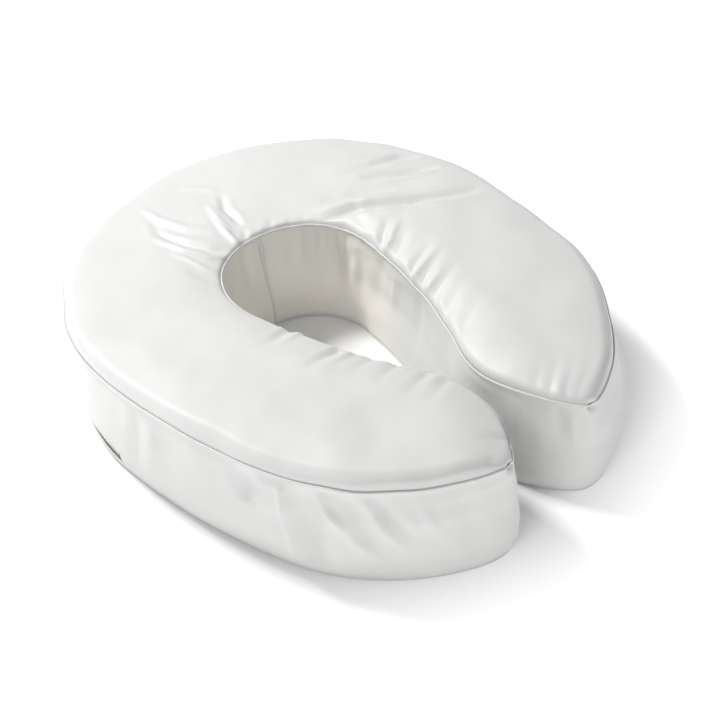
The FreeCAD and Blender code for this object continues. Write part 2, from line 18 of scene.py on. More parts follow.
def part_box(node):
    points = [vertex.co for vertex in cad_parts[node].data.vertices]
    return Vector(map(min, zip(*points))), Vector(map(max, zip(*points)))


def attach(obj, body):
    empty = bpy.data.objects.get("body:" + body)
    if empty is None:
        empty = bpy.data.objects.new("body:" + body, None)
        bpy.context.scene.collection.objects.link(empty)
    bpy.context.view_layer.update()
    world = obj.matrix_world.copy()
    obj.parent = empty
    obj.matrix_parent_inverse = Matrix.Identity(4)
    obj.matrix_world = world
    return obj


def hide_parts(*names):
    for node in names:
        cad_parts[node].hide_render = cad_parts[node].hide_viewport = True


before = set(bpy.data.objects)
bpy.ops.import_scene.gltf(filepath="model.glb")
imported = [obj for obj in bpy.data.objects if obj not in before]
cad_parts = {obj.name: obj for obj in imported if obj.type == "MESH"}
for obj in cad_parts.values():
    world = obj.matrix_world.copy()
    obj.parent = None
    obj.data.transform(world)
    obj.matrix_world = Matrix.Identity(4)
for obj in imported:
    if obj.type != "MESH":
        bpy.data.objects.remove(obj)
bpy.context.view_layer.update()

logging.basicConfig(level=logging.INFO, format="%(levelname)s %(message)s")
log = logging.getLogger("raised_toilet_seat")

MM = 0.001
ROOT = "cushion"


# ------------------------------------------------------------------ small tools

def mix(low: float, high: float, share: float) -> float:
    """Goes from low to high as share goes from 0 to 1."""
    return low + (high - low) * share


def ease(value: float) -> float:
    """A smooth step from 0 to 1."""
    value = min(max(value, 0.0), 1.0)
    return value * value * (3 - 2 * value)


def bump(distance: float, width: float) -> float:
    """A smooth hill: 1 at no distance, 0 past the width."""
    share = min(abs(distance) / width, 1.0)
    return (1 - share * share) ** 2


def hills(distances: np.ndarray, width: float) -> np.ndarray:
    """Smooth hills for many distances: 1 at none, 0 past the width."""
    return (1 - np.clip(distances / width, 0, 1) ** 2) ** 2


def linear(hex_colour: str) -> tuple[float, float, float, float]:
    """Turns an sRGB hex colour to linear.

    Args:
        hex_colour: Six hex digits.

    Returns:
        The linear colour with full alpha.
    """
    channels = [int(hex_colour[i:i + 2], 16) / 255 for i in (0, 2, 4)]
    bright = [c / 12.92 if c <= 0.04045 else ((c + 0.055) / 1.055) ** 2.4 for c in channels]
    return (*bright, 1.0)


def add_node(tree: bpy.types.NodeTree, kind: str, settings: dict | None = None,
             **inputs: object) -> bpy.types.Node:
    """Adds one node with its settings and links.

    Args:
        tree: The node tree.
        kind: The node's type name.
        settings: Attributes of the node itself.
        inputs: Socket names, with underscores for spaces or as i and the socket's number, and a
            value or another node's output.

    Returns:
        The new node.
    """
    node = tree.nodes.new(kind)
    for key, value in (settings or {}).items():
        setattr(node, key, value)
    for key, value in inputs.items():
        name = key.replace("_", " ")
        numbered = name[0] == "i" and name[1:].isdigit()
        socket = node.inputs[int(name[1:]) if numbered else name]
        if isinstance(value, bpy.types.NodeSocket):
            tree.links.new(value, socket)
        else:
            socket.default_value = value
    return node


# ------------------------------------------------------------------ outline

@dataclass(frozen=True)
class Arc:
    """Part of a circle, from one angle to another, whose material lies on one side.

    side is +1 where the material is inside the circle and -1 where it is outside.
    """
    x: float
    y: float
    radius: float
    start: float
    end: float
    side: int

    def length(self, inset: float) -> float:
        """The arc's length when it is moved into the material by inset."""
        return abs(self.end - self.start) * (self.radius - self.side * inset)

    def at(self, share: float, inset: float) -> Vector:
        """The point a share of the way along, moved into the material by inset."""
        angle = mix(self.start, self.end, share)
        radius = self.radius - self.side * inset
        return Vector((self.x + radius * math.cos(angle), self.y + radius * math.sin(angle), 0))

    def outward(self, share: float) -> Vector:
        """The level direction out of the material."""
        angle = mix(self.start, self.end, share)
        return Vector((math.cos(angle), math.sin(angle), 0)) * self.side


def circles_meet(first: Vector, first_radius: float, second: Vector, second_radius: float,
                 near: Vector) -> Vector:
    """Where two circles cross, nearest to a given point."""
    between = second - first
    span = between.length
    along = (first_radius ** 2 - second_radius ** 2 + span ** 2) / (2 * span)
    across = math.sqrt(max(first_radius ** 2 - along ** 2, 0.0))
    ahead = between / span
    turned = Vector((-ahead.y, ahead.x, 0)) * across
    meets = (first + ahead * along + turned, first + ahead * along - turned)
    return min(meets, key=lambda point: (point - near).length)


@dataclass
class Keyhole:
    """The seat's outline at the seam beads, as arcs for the right half."""
    shoulder_radius: float = 159.7 * MM
    tip_spacing: float = 80.6 * MM
    rear_depth: float = 121.0 * MM
    hole_radius: float = 59.5 * MM
    hole_side_radius: float = 422.3 * MM
    flare_radius: float = 93.7 * MM
    slot_width: float = 19.5 * MM
    width: float = 0.0
    length: float = 0.0

    def __post_init__(self) -> None:
        """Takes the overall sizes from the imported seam."""
        low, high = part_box("top_seam")
        self.width, self.length = high.x - low.x, high.y * 2
        half = self.width / 2
        self.rear = Vector((0, self.length / 2 - half, 0))
        self.tip = Vector((self.tip_spacing / 2, -self.length / 2, 0))
        rise = math.sqrt(self.shoulder_radius ** 2 - self.tip.x ** 2)
        self.shoulder = Vector((0, self.tip.y + rise, 0))
        drop = self.rear.y - self.shoulder.y
        self.side_radius = ((half ** 2 + drop ** 2 - self.shoulder_radius ** 2)
                            / (2 * (half - self.shoulder_radius)))
        self.side = Vector((half - self.side_radius, self.rear.y, 0))
        flare_x = self.slot_width / 2 + self.flare_radius
        flare_rise = math.sqrt(self.flare_radius ** 2 - (flare_x - self.tip.x) ** 2)
        self.flare = Vector((flare_x, self.tip.y + flare_rise, 0))
        self.hole = Vector((0, self.length / 2 - self.rear_depth - self.hole_radius, 0))
        self.hole_side = circles_meet(
            self.hole, self.hole_side_radius - self.hole_radius,
            self.flare, self.hole_side_radius + self.flare_radius,
            Vector((-self.hole_side_radius, self.hole.y, 0)))

    def corner(self, outer_inset: float, inner_inset: float) -> Vector:
        """The right arm's tip, where the shoulder and the flare meet."""
        return circles_meet(self.shoulder, self.shoulder_radius - outer_inset,
                            self.flare, self.flare_radius - inner_inset, self.tip)

    def outer(self, outer_inset: float, inner_inset: float) -> list[Arc]:
        """The right half's outside, from the rear to the tip."""
        corner = self.corner(outer_inset, inner_inset)
        down = math.atan2(self.shoulder.y - self.side.y, self.shoulder.x - self.side.x)
        last = math.atan2(corner.y - self.shoulder.y, corner.x - self.shoulder.x)
        return [Arc(self.rear.x, self.rear.y, self.width / 2, math.pi / 2, 0, 1),
                Arc(self.side.x, self.side.y, self.side_radius, 0, down, 1),
                Arc(self.shoulder.x, self.shoulder.y, self.shoulder_radius, down, last, 1)]

    def inner(self, outer_inset: float, inner_inset: float) -> list[Arc]:
        """The right half's hole and slot side, from the hole's rear to the tip."""
        corner = self.corner(outer_inset, inner_inset)
        turn = math.atan2(self.hole.y - self.hole_side.y, self.hole.x - self.hole_side.x)
        to_flare = self.flare - self.hole_side
        neck = math.atan2(to_flare.y, to_flare.x)
        last = math.atan2(corner.y - self.flare.y, corner.x - self.flare.x)
        return [Arc(self.hole.x, self.hole.y, self.hole_radius, math.pi / 2, turn, -1),
                Arc(self.hole_side.x, self.hole_side.y, self.hole_side_radius, turn, neck, -1),
                Arc(self.flare.x, self.flare.y, self.flare_radius,
                    neck + math.pi, last + (2 * math.pi if last < 0 else 0), 1)]

    def distance(self, points: np.ndarray, inset: float, outside: bool) -> np.ndarray:
        """How far level points are from the outside line, or from the hole and slot line.

        Args:
            points: Places, in metres, one row each.
            inset: Which line, as its distance into the material.
            outside: True for the outside, False for the hole and slot.

        Returns:
            One distance for each point.
        """
        count = 400  # stations on a quarter: the line's steps are about 1 mm
        line = np.array([tuple(p)[:2] for p, _ in self.loop(count, inset)])
        line = line[count:3 * count + 1] if outside else np.concatenate(
            (line[3 * count:], line[:count + 1]))
        run = np.diff(line, axis=0)
        nearest = np.empty(len(points))
        for i, point in enumerate(points[:, :2]):
            gap = line - point
            k = int((gap ** 2).sum(1).argmin())
            best = math.inf
            for start in (max(k - 1, 0), min(k, len(run) - 1)):
                step = run[start]
                share = min(max(-(gap[start] @ step) / (step @ step), 0), 1)
                best = min(best, float(np.linalg.norm(gap[start] + share * step)))
            nearest[i] = best
        return nearest

    @staticmethod
    def along(arcs: list[Arc], share: float, inset: float) -> tuple[Vector, Vector]:
        """The point and outward direction a share of the way along a chain of arcs."""
        lengths = [arc.length(inset) for arc in arcs]
        left = share * sum(lengths)
        for arc, length in zip(arcs, lengths):
            if left <= length or arc is arcs[-1]:
                part = min(left / length, 1.0)
                return arc.at(part, inset), arc.outward(part)
            left -= length
        raise ValueError("no arcs")

    def loop(self, count: int, inset: float) -> list[tuple[Vector, Vector]]:
        """Evenly shared stations round the whole outline, all at one inset.

        The loop runs from the hole's rear to the right tip, round the outside to the left tip, and
        back to the hole's rear, so each tip is a station.

        Args:
            count: Stations on each of the four quarters.
            inset: How far into the material, in metres.

        Returns:
            A place and an outward direction for every station, 4 * count of them.
        """
        inner, outer = self.inner(inset, inset), self.outer(inset, inset)
        right = [self.along(inner, i / count, inset) for i in range(count)]
        right += [self.along(outer, 1 - i / count, inset) for i in range(count)]
        flip = Matrix.Diagonal((-1, 1, 1))
        left = [(flip @ p, flip @ n) for p, n in reversed(right[1:])]
        return right + [self.along(outer, 0, inset)] + left

    def stations(self, count: int, inset: float = 0.0) -> tuple[np.ndarray, np.ndarray]:
        """Places round the outline, and how far each moves for a unit of swelling.

        Args:
            count: Stations on each of the four quarters.
            inset: How far into the material, in metres.

        Returns:
            Level places, and outward vectors that keep the tips mitred.
        """
        here = np.array([tuple(p) for p, _ in self.loop(count, inset)])
        out = np.array([tuple(p) for p, _ in self.loop(count, inset - MM)])
        return here, (out - here) / MM

    @staticmethod
    def seams(ring: np.ndarray) -> tuple[np.ndarray, np.ndarray]:
        """Splits a ring of stations into two lines that both run from the left tip to the right.

        Args:
            ring: Level places all round the outline.

        Returns:
            The line round the outside, and the one round the slot and the hole.
        """
        n = len(ring) // 4
        return ring[n:3 * n + 1][::-1], np.concatenate((ring[3 * n:], ring[:n + 1]))


def panel_between(outer: np.ndarray, inner: np.ndarray, share: np.ndarray) -> np.ndarray:
    """Places by column and row, each row at its share of the way from outer to inner."""
    return outer[:, None] * (1 - share)[None, :, None] + inner[:, None] * share[None, :, None]


# ------------------------------------------------------------------ folds in the cloth

# the cloth is thin, so every fold is built narrower and taller than its listed line says
WIDTH_SHARE, HEIGHT_SHARE = 0.85, 1.3


class FoldShape(Enum):
    """How a fold stands across its line."""
    RIDGE = "a raised tuck with a soft hollow each side"
    HOLLOW = "a soft hollow"


class FoldFade(Enum):
    """How a fold dies away along its line."""
    BOTH_ENDS = "strongest in the middle"
    FROM_START = "strongest where it leaves a seam"


@dataclass(frozen=True)
class Fold:
    """One fold: a line in millimetres, with the fold's height and half-width.

    A line of (x, y) points lies on the top panel, whatever the height there.
    """
    path: tuple[tuple[float, ...], ...]
    height: float
    width: float
    shape: FoldShape = FoldShape.RIDGE
    fade: FoldFade = FoldFade.BOTH_ENDS

    def lift(self, points: np.ndarray) -> np.ndarray:
        """How far the fold moves each point along its normal.

        Args:
            points: Places, in metres, one row each.

        Returns:
            The distances, in metres.
        """
        knots = np.array([(*knot, 0.0)[:3] for knot in self.path], float) * MM
        if len(self.path[0]) == 2:
            points = points * np.array((1, 1, 0))
        runs = np.diff(knots, axis=0)
        sizes = np.linalg.norm(runs, axis=1)
        starts = np.concatenate(([0.0], np.cumsum(sizes)))
        nearest = np.full(len(points), np.inf)
        along = np.zeros(len(points))
        for knot, run, size, start in zip(knots, runs, sizes, starts):
            offset = points - knot
            share = np.clip(offset @ run / size ** 2, 0, 1)
            distance = np.linalg.norm(offset - share[:, None] * run, axis=1)
            closer = distance < nearest
            nearest = np.where(closer, distance, nearest)
            along = np.where(closer, (start + share * size) / starts[-1], along)
        q = nearest / (self.width * WIDTH_SHARE * MM)
        if self.shape is FoldShape.RIDGE:
            across = (1 - 0.8 * q ** 2) * np.exp(-1.1 * q ** 1.6)
        else:
            across = 0.22 * np.exp(-((q - 1.9) / 0.8) ** 2) - np.exp(-1.1 * q ** 1.5)
        if self.fade is FoldFade.BOTH_ENDS:
            fade = np.sin(np.pi * np.clip(along, 0, 1)) ** 0.7
        else:
            fade = np.clip(1 - along, 0, 1) ** 1.2
        reach = np.where(q < 4, 1.0, 0.0)
        return self.height * HEIGHT_SHARE * MM * across * fade * reach


def lift_by(folds: list[Fold], points: np.ndarray) -> np.ndarray:
    """How far all the folds together move each point along its normal, in metres."""
    return sum((fold.lift(points) for fold in folds), np.zeros(len(points)))


def soft_waves(points: np.ndarray, size: float, height: float, seed: float) -> np.ndarray:
    """Gentle unevenness of stretched cloth over foam.

    Args:
        points: Places, in metres.
        size: Length of a wave, in metres.
        height: Height of a wave, in metres.
        seed: Shifts the pattern.

    Returns:
        One distance for each point, in metres.
    """
    shift = Vector((seed, seed * 0.37, seed * 1.91))
    return np.array([noise.noise(Vector(p) / size + shift) for p in points]) * height


@dataclass(frozen=True)
class Settling:
    """How the filled seat has settled: one movement that its cover, seams and foam share.

    The right arm's cover was cut a little narrow, so its seam is drawn in and its band bulges
    below. Each tip is pinched where the panels meet. Slack cloth lies unevenly, more so higher up,
    and it is gathered beside the hole.
    """
    outline: Keyhole
    seam_height: float
    narrow_spot: tuple[float, float] = (118.0 * MM, -170.0 * MM)
    narrow_reach: float = 78 * MM
    seam_draw: tuple[float, float] = (-6.4 * MM, 3.6 * MM)
    bulge: tuple[float, float] = (3.2 * MM, -1.8 * MM)
    bulge_height: float = 30 * MM
    pinch_reach: float = 5.5 * MM
    pinch: tuple[float, float] = (4.2 * MM, -2.2 * MM)
    tip_reach: float = 42 * MM
    tip_draw: float = -4.0 * MM
    slack_wave: float = 34 * MM
    slack: tuple[float, float, float] = (1.7 * MM, 1.7 * MM, 1.3 * MM)
    gather_spot: tuple[float, float] = (52 * MM, 38 * MM)
    gather_reach: float = 62 * MM
    gather_wave: float = 11 * MM
    gather: tuple[float, float] = (1.5 * MM, 1.0 * MM)

    def move(self, places: np.ndarray) -> None:
        """Moves one piece's places.

        Args:
            places: Places by column, row and axis, which are moved.
        """
        level = places[:, :, :2] - np.array(self.narrow_spot)
        near = hills(np.linalg.norm(level, axis=2), self.narrow_reach)
        high = np.clip((places[:, :, 2] - 35 * MM) / (50 * MM), 0, 1)
        for axis in (0, 1):
            places[:, :, axis] += self.seam_draw[axis] * near * high
        self.pinch_tips(places, high)
        low = np.clip(1 - np.abs(places[:, :, 2] - self.bulge_height) / self.bulge_height, 0, 1)
        for axis in (0, 1):
            places[:, :, axis] += self.bulge[axis] * near * low
        self.slacken(places)

    def pinch_tips(self, places: np.ndarray, high: np.ndarray) -> None:
        """Pinches both tips and draws the right one in.

        Args:
            places: Places by column, row and axis, which are moved.
            high: How near to the top seam each place was, from 0 to 1.
        """
        corner = self.outline.corner(0, 0)
        for side in (1, -1):
            tip = np.array((side * abs(corner.x), corner.y, self.seam_height))
            reach = np.linalg.norm(places - tip, axis=2)
            pinched = hills(reach, self.pinch_reach)
            places[:, :, 1] += self.pinch[0] * pinched
            places[:, :, 2] += self.pinch[1] * pinched
            if side > 0:
                places[:, :, 0] += self.tip_draw * hills(reach, self.tip_reach) * high

    def slacken(self, places: np.ndarray) -> None:
        """Lets the slack cloth lie unevenly, and gathers it beside the hole.

        Args:
            places: Places by column, row and axis, which are moved.
        """
        flat = places.reshape(-1, 3)
        start = flat.copy()
        loose = np.clip((start[:, 2] - 25 * MM) / (45 * MM), 0, 1)
        for axis, height in enumerate(self.slack):
            flat[:, axis] += soft_waves(start, self.slack_wave, height, 11.0 + axis) * loose
        aside = np.linalg.norm(start[:, :2] - np.array(self.gather_spot), axis=1)
        gathered = (1 - np.clip(aside / self.gather_reach, 0, 1) ** 2) * loose ** 3
        for axis, height, seed in ((0, self.gather[0], 4.4), (2, self.gather[1], 6.4)):
            flat[:, axis] += soft_waves(start, self.gather_wave, height, seed) * gathered
        places[:] = flat.reshape(places.shape)


# ------------------------------------------------------------------ building meshes

def new_piece(name: str, bm: bmesh.types.BMesh, smooth: bool = True) -> bpy.types.Object:
    """Turns a bmesh into a scene object at the origin.

    Args:
        name: The piece's name.
        bm: Its mesh, which is freed.
        smooth: Whether its faces are shaded smooth.

    Returns:
        The new object.
    """
    mesh = bpy.data.meshes.new(name)
    bm.to_mesh(mesh)
    bm.free()
    for polygon in mesh.polygons:
        polygon.use_smooth = smooth
    piece = bpy.data.objects.new(name, mesh)
    bpy.context.scene.collection.objects.link(piece)
    return piece


def fit_out(piece: bpy.types.Object, finish: bpy.types.Material, body: str, slot: str,
            *nodes: str) -> bpy.types.Object:
    """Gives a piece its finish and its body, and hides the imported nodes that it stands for."""
    piece.data.materials.clear()
    piece.data.materials.append(finish)
    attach(piece, body)
    if nodes:
        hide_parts(*nodes)
    log.info("%s: %d faces, rides on %s", piece.name, len(piece.data.polygons), body)
    return piece


def grid_mesh(places: np.ndarray, closed_u: bool, closed_v: bool,
              uv: np.ndarray | None = None) -> bmesh.types.BMesh:
    """A bmesh grid pulled to a table of places, welded where its edges meet.

    Args:
        places: Places by column, row and axis.
        closed_u: Whether the last column meets the first.
        closed_v: Whether the last row meets the first.
        uv: Cloth coordinates by column and row, in metres.

    Returns:
        The grid, with outward faces not yet set.
    """
    columns, rows = places.shape[0] + int(closed_u), places.shape[1] + int(closed_v)
    bm = bmesh.new()
    bmesh.ops.create_grid(bm, x_segments=columns - 1, y_segments=rows - 1, size=0.5)
    layer = bm.loops.layers.uv.new("cloth")
    spot = {}
    for vertex in bm.verts:
        column = round((vertex.co.x + 0.5) * (columns - 1))
        row = round((vertex.co.y + 0.5) * (rows - 1))
        spot[vertex] = (column, row)
        vertex.co = Vector(places[column % places.shape[0], row % places.shape[1]])
    for face in bm.faces:
        for loop in face.loops:
            column, row = spot[loop.vert]
            if uv is not None:
                loop[layer].uv = uv[min(column, uv.shape[0] - 1), min(row, uv.shape[1] - 1)]
            else:
                loop[layer].uv = (column / columns, row / rows)
    bmesh.ops.remove_doubles(bm, verts=bm.verts, dist=1e-6)
    return bm


def face_out(bm: bmesh.types.BMesh, inside: Vector) -> None:
    """Turns an open skin's faces so that most of them look away from a point."""
    bmesh.ops.recalc_face_normals(bm, faces=bm.faces)
    away = sum(face.normal.dot(face.calc_center_median() - inside) * face.calc_area()
               for face in bm.faces)
    if away < 0:
        bmesh.ops.reverse_faces(bm, faces=bm.faces)


def cut_across(bm: bmesh.types.BMesh, place: tuple[float, float, float],
               facing: tuple[float, float, float]) -> None:
    """Adds an edge line to a whole mesh where a plane at a place meets it."""
    bmesh.ops.bisect_plane(bm, geom=[*bm.verts, *bm.edges, *bm.faces], dist=1e-7,
                           plane_co=place, plane_no=facing)


def add_levels(piece: bpy.types.Object, levels: int) -> None:
    """Adds a live subdivision surface."""
    surface = piece.modifiers.new("smooth", "SUBSURF")
    surface.levels = surface.render_levels = levels
    surface.boundary_smooth = "PRESERVE_CORNERS"


def add_wall(piece: bpy.types.Object, thickness: float) -> None:
    """Gives a skin its cloth thickness, inwards."""
    wall = piece.modifiers.new("cloth_thickness", "SOLIDIFY")
    wall.thickness = thickness
    wall.offset = -1


# ------------------------------------------------------------------ finishes

@dataclass(frozen=True)
class Finish:
    """A plain finish: its real name, colour and gloss."""
    name: str
    colour: str
    roughness: float
    specular: float = 0.5

    def make(self) -> bpy.types.Material:
        """Builds the material and its details."""
        material = bpy.data.materials.new(self.name)
        material.use_nodes = True
        tree = material.node_tree
        tree.nodes.clear()
        shader = add_node(tree, "ShaderNodeBsdfPrincipled", Base_Color=linear(self.colour),
                          Roughness=self.roughness, Specular_IOR_Level=self.specular)
        add_node(tree, "ShaderNodeOutputMaterial", Surface=shader.outputs["BSDF"])
        self.detail(tree, shader)
        return material

    def detail(self, tree: bpy.types.NodeTree, shader: bpy.types.Node) -> None:
        """Adds nothing on a plain finish."""


@dataclass(frozen=True)
class CoatedCloth(Finish):
    """Knitted polyester with a white polyurethane face: an even, satin, wipe-clean skin.

    The face has a fine pressed grain under 1 mm, slightly uneven gloss, and small soft creases
    where it has been pulled over the foam. The walls of the hole get painted warm bounce light:
    their colour turns a lighter, warmer white, by a share from 0 to 1, between two distances from
    the hole's middle.
    """
    grain: float = 0.9 * MM
    crease: float = 14 * MM
    crease_depth: float = 0.35 * MM
    patch: float = 45 * MM
    # painted warm bounce light in the hole: its share, the hole's middle, and the distances where
    # it starts and where it is full
    hole_warm_bounce: float = 0.0
    hole_middle: float = 37.5 * MM
    bounce_from: float = 80 * MM
    bounce_full: float = 56 * MM

    def detail(self, tree: bpy.types.NodeTree, shader: bpy.types.Node) -> None:
        """Adds grain, small creases, faint mottling, painted warm bounce light in the hole and
        uneven gloss.
        """
        place = add_node(tree, "ShaderNodeTexCoord").outputs["Object"]
        cells = add_node(tree, "ShaderNodeTexVoronoi", {"feature": "SMOOTH_F1"}, Vector=place,
                         Scale=1 / self.grain, Smoothness=0.8)
        patches = add_node(tree, "ShaderNodeTexNoise", Vector=place, Scale=1 / self.patch,
                           Detail=4.0)
        creases = add_node(tree, "ShaderNodeTexNoise", {"noise_type": "RIDGED_MULTIFRACTAL"},
                           Vector=place, Scale=1 / self.crease, Detail=2.0, Roughness=0.35)
        tint = add_node(tree, "ShaderNodeMix", {"data_type": "RGBA"}, i0=patches.outputs["Fac"],
                        i6=linear(self.colour), i7=linear("dfdfde"))
        # painted light: near the hole's middle the colour turns a lighter, warmer white, standing
        # in for warm light bouncing between the hole's walls
        inward = add_node(tree, "ShaderNodeVectorMath", {"operation": "MULTIPLY_ADD"}, i0=place,
                          i1=(1.0, 1.0, 0.0), i2=(0.0, -self.hole_middle, 0.0))
        reach = add_node(tree, "ShaderNodeVectorMath", {"operation": "LENGTH"},
                         i0=inward.outputs["Vector"])
        edge_wear_and_hole_bounce = add_node(tree, "ShaderNodeMapRange", Value=reach.outputs["Value"],
                        From_Min=self.bounce_from, From_Max=self.bounce_full, To_Max=self.hole_warm_bounce)
        warm = add_node(tree, "ShaderNodeMix", {"data_type": "RGBA"}, i0=edge_wear_and_hole_bounce.outputs["Result"],
                        i6=tint.outputs[2], i7=linear("f0ece2"))
        tree.links.new(warm.outputs[2], shader.inputs["Base Color"])
        gloss = add_node(tree, "ShaderNodeMapRange", Value=patches.outputs["Fac"], To_Min=0.42,
                         To_Max=0.56)
        tree.links.new(gloss.outputs["Result"], shader.inputs["Roughness"])
        small = add_node(tree, "ShaderNodeBump", Height=cells.outputs["Distance"], Strength=0.12,
                         Distance=0.05 * MM)
        large = add_node(tree, "ShaderNodeBump", Height=creases.outputs["Fac"], Strength=0.10,
                         Distance=self.crease_depth, Normal=small.outputs["Normal"])
        tree.links.new(large.outputs["Normal"], shader.inputs["Normal"])
        shader.inputs["Sheen Weight"].default_value = 0.12
        shader.inputs["Sheen Roughness"].default_value = 0.4


@dataclass(frozen=True)
class WovenTape(Finish):
    """Woven polyester tape: crossing ribs that catch light on their crowns, and a dry surface."""
    across: float = 1.2 * MM
    along: float = 0.9 * MM
    depth: float = 0.25 * MM

    def detail(self, tree: bpy.types.NodeTree, shader: bpy.types.Node) -> None:
        """Weaves two sets of ribs along the piece's cloth coordinates, with painted shade where
        they dip.
        """
        place = add_node(tree, "ShaderNodeUVMap", {"uv_map": "cloth"}).outputs["UV"]
        weft = add_node(tree, "ShaderNodeTexWave", {"bands_direction": "X"}, Vector=place,
                        Scale=math.pi / 10 / self.along, Distortion=0.15)
        warp = add_node(tree, "ShaderNodeTexWave", {"bands_direction": "Y"}, Vector=place,
                        Scale=math.pi / 10 / self.across, Distortion=0.15)
        both = add_node(tree, "ShaderNodeMath", {"operation": "MULTIPLY"}, i0=weft.outputs["Fac"],
                        i1=warp.outputs["Fac"])
        # painted shade: the weave is coloured darker where its ribs dip, the same places where the
        # bump sinks
        tint = add_node(tree, "ShaderNodeMix", {"data_type": "RGBA"}, i0=both.outputs[0],
                        i6=linear("d3d0ca"), i7=linear(self.colour))
        tree.links.new(tint.outputs[2], shader.inputs["Base Color"])
        ribs = add_node(tree, "ShaderNodeBump", Height=both.outputs[0], Strength=0.6,
                        Distance=self.depth)
        tree.links.new(ribs.outputs["Normal"], shader.inputs["Normal"])
        shader.inputs["Sheen Weight"].default_value = 0.2


@dataclass(frozen=True)
class Nylon(Finish):
    """Drawn nylon: smooth, slightly see-through plastic thread with a soft shine."""

    def detail(self, tree: bpy.types.NodeTree, shader: bpy.types.Node) -> None:
        """Adds the milky depth of nylon and its drawing marks."""
        shader.inputs["Subsurface Weight"].default_value = 0.15
        shader.inputs["Subsurface Scale"].default_value = 0.5 * MM
        place = add_node(tree, "ShaderNodeTexCoord").outputs["Object"]
        marks = add_node(tree, "ShaderNodeTexNoise", Vector=place, Scale=1 / (0.8 * MM), Detail=2.0)
        rough = add_node(tree, "ShaderNodeMapRange", Value=marks.outputs["Fac"], To_Min=0.28,
                         To_Max=0.42)
        tree.links.new(rough.outputs["Result"], shader.inputs["Roughness"])


@dataclass(frozen=True)
class SpunThread(Finish):
    """Spun polyester thread: matt, with twisted strands that show as fine slanting ridges."""

    def detail(self, tree: bpy.types.NodeTree, shader: bpy.types.Node) -> None:
        """Twists fine strands round the thread, with painted shade in the grooves between them."""
        place = add_node(tree, "ShaderNodeTexCoord").outputs["Object"]
        twist = add_node(tree, "ShaderNodeTexWave", {"bands_direction": "DIAGONAL"}, Vector=place,
                         Scale=math.pi / 10 / (0.5 * MM), Distortion=1.0)
        # painted shade: the thread is coloured darker in the grooves between its strands
        tint = add_node(tree, "ShaderNodeMix", {"data_type": "RGBA"}, i0=twist.outputs["Fac"],
                        i6=linear("cfccc6"), i7=linear(self.colour))
        tree.links.new(tint.outputs[2], shader.inputs["Base Color"])
        strands = add_node(tree, "ShaderNodeBump", Height=twist.outputs["Fac"], Strength=0.4,
                           Distance=0.1 * MM)
        tree.links.new(strands.outputs["Normal"], shader.inputs["Normal"])


@dataclass(frozen=True)
class HookAndLoop(Finish):
    """Nylon hook or loop tape: a dry knitted ground with a fuzzy, unevenly shaded nap."""
    nap: float = 0.9 * MM

    def detail(self, tree: bpy.types.NodeTree, shader: bpy.types.Node) -> None:
        """Ruffles the nap, with painted shade in its low tufts."""
        place = add_node(tree, "ShaderNodeTexCoord").outputs["Object"]
        fuzz = add_node(tree, "ShaderNodeTexNoise", Vector=place, Scale=1 / self.nap, Detail=6.0,
                        Roughness=0.7)
        # painted shade: the nap is coloured darker where it dips
        tint = add_node(tree, "ShaderNodeMix", {"data_type": "RGBA"}, i0=fuzz.outputs["Fac"],
                        i6=linear("bdbab4"), i7=linear(self.colour))
        tree.links.new(tint.outputs[2], shader.inputs["Base Color"])
        ruffle = add_node(tree, "ShaderNodeBump", Height=fuzz.outputs["Fac"], Strength=0.8,
                          Distance=0.4 * MM)
        tree.links.new(ruffle.outputs["Normal"], shader.inputs["Normal"])
        shader.inputs["Sheen Weight"].default_value = 0.4


@dataclass(frozen=True)
class LacqueredZinc(Finish):
    """Die-cast zinc under white lacquer: smooth and glossy, thin and greyer on worn edges."""

    def detail(self, tree: bpy.types.NodeTree, shader: bpy.types.Node) -> None:
        """Wears the lacquer thin at the edges and dulls it in patches."""
        edge = add_node(tree, "ShaderNodeNewGeometry").outputs["Pointiness"]
        edge_wear_and_hole_bounce = add_node(tree, "ShaderNodeMapRange", Value=edge, From_Min=0.53, From_Max=0.6)
        place = add_node(tree, "ShaderNodeTexCoord").outputs["Object"]
        patch = add_node(tree, "ShaderNodeTexNoise", Vector=place, Scale=1 / (2.5 * MM), Detail=3.0)
        both = add_node(tree, "ShaderNodeMath", {"operation": "MULTIPLY"},
                        i0=edge_wear_and_hole_bounce.outputs["Result"], i1=patch.outputs["Fac"])
        tint = add_node(tree, "ShaderNodeMix", {"data_type": "RGBA"}, i0=both.outputs[0],
                        i6=linear(self.colour), i7=linear("a3a29f"))
        tree.links.new(tint.outputs[2], shader.inputs["Base Color"])
        dull = add_node(tree, "ShaderNodeMapRange", Value=patch.outputs["Fac"], To_Min=0.22,
                        To_Max=0.38)
        tree.links.new(dull.outputs["Result"], shader.inputs["Roughness"])


@dataclass(frozen=True)
class OpenCellFoam(Finish):
    """Cut polyurethane foam: matt and full of small open cells."""

    def detail(self, tree: bpy.types.NodeTree, shader: bpy.types.Node) -> None:
        """Opens the cells, drawn at 1.2 mm, coarser than real ones so that they show, with painted
        shade in their pits.
        """
        place = add_node(tree, "ShaderNodeTexCoord").outputs["Object"]
        cells = add_node(tree, "ShaderNodeTexVoronoi", Vector=place, Scale=1 / (1.2 * MM))
        # painted shade: each cell's pit is coloured darker
        tint = add_node(tree, "ShaderNodeMix", {"data_type": "RGBA"}, i0=cells.outputs["Distance"],
                        i6=linear("d8d2b8"), i7=linear(self.colour))
        tree.links.new(tint.outputs[2], shader.inputs["Base Color"])
        pits = add_node(tree, "ShaderNodeBump", Height=cells.outputs["Distance"], Strength=0.7,
                        Distance=0.4 * MM)
        tree.links.new(pits.outputs["Normal"], shader.inputs["Normal"])


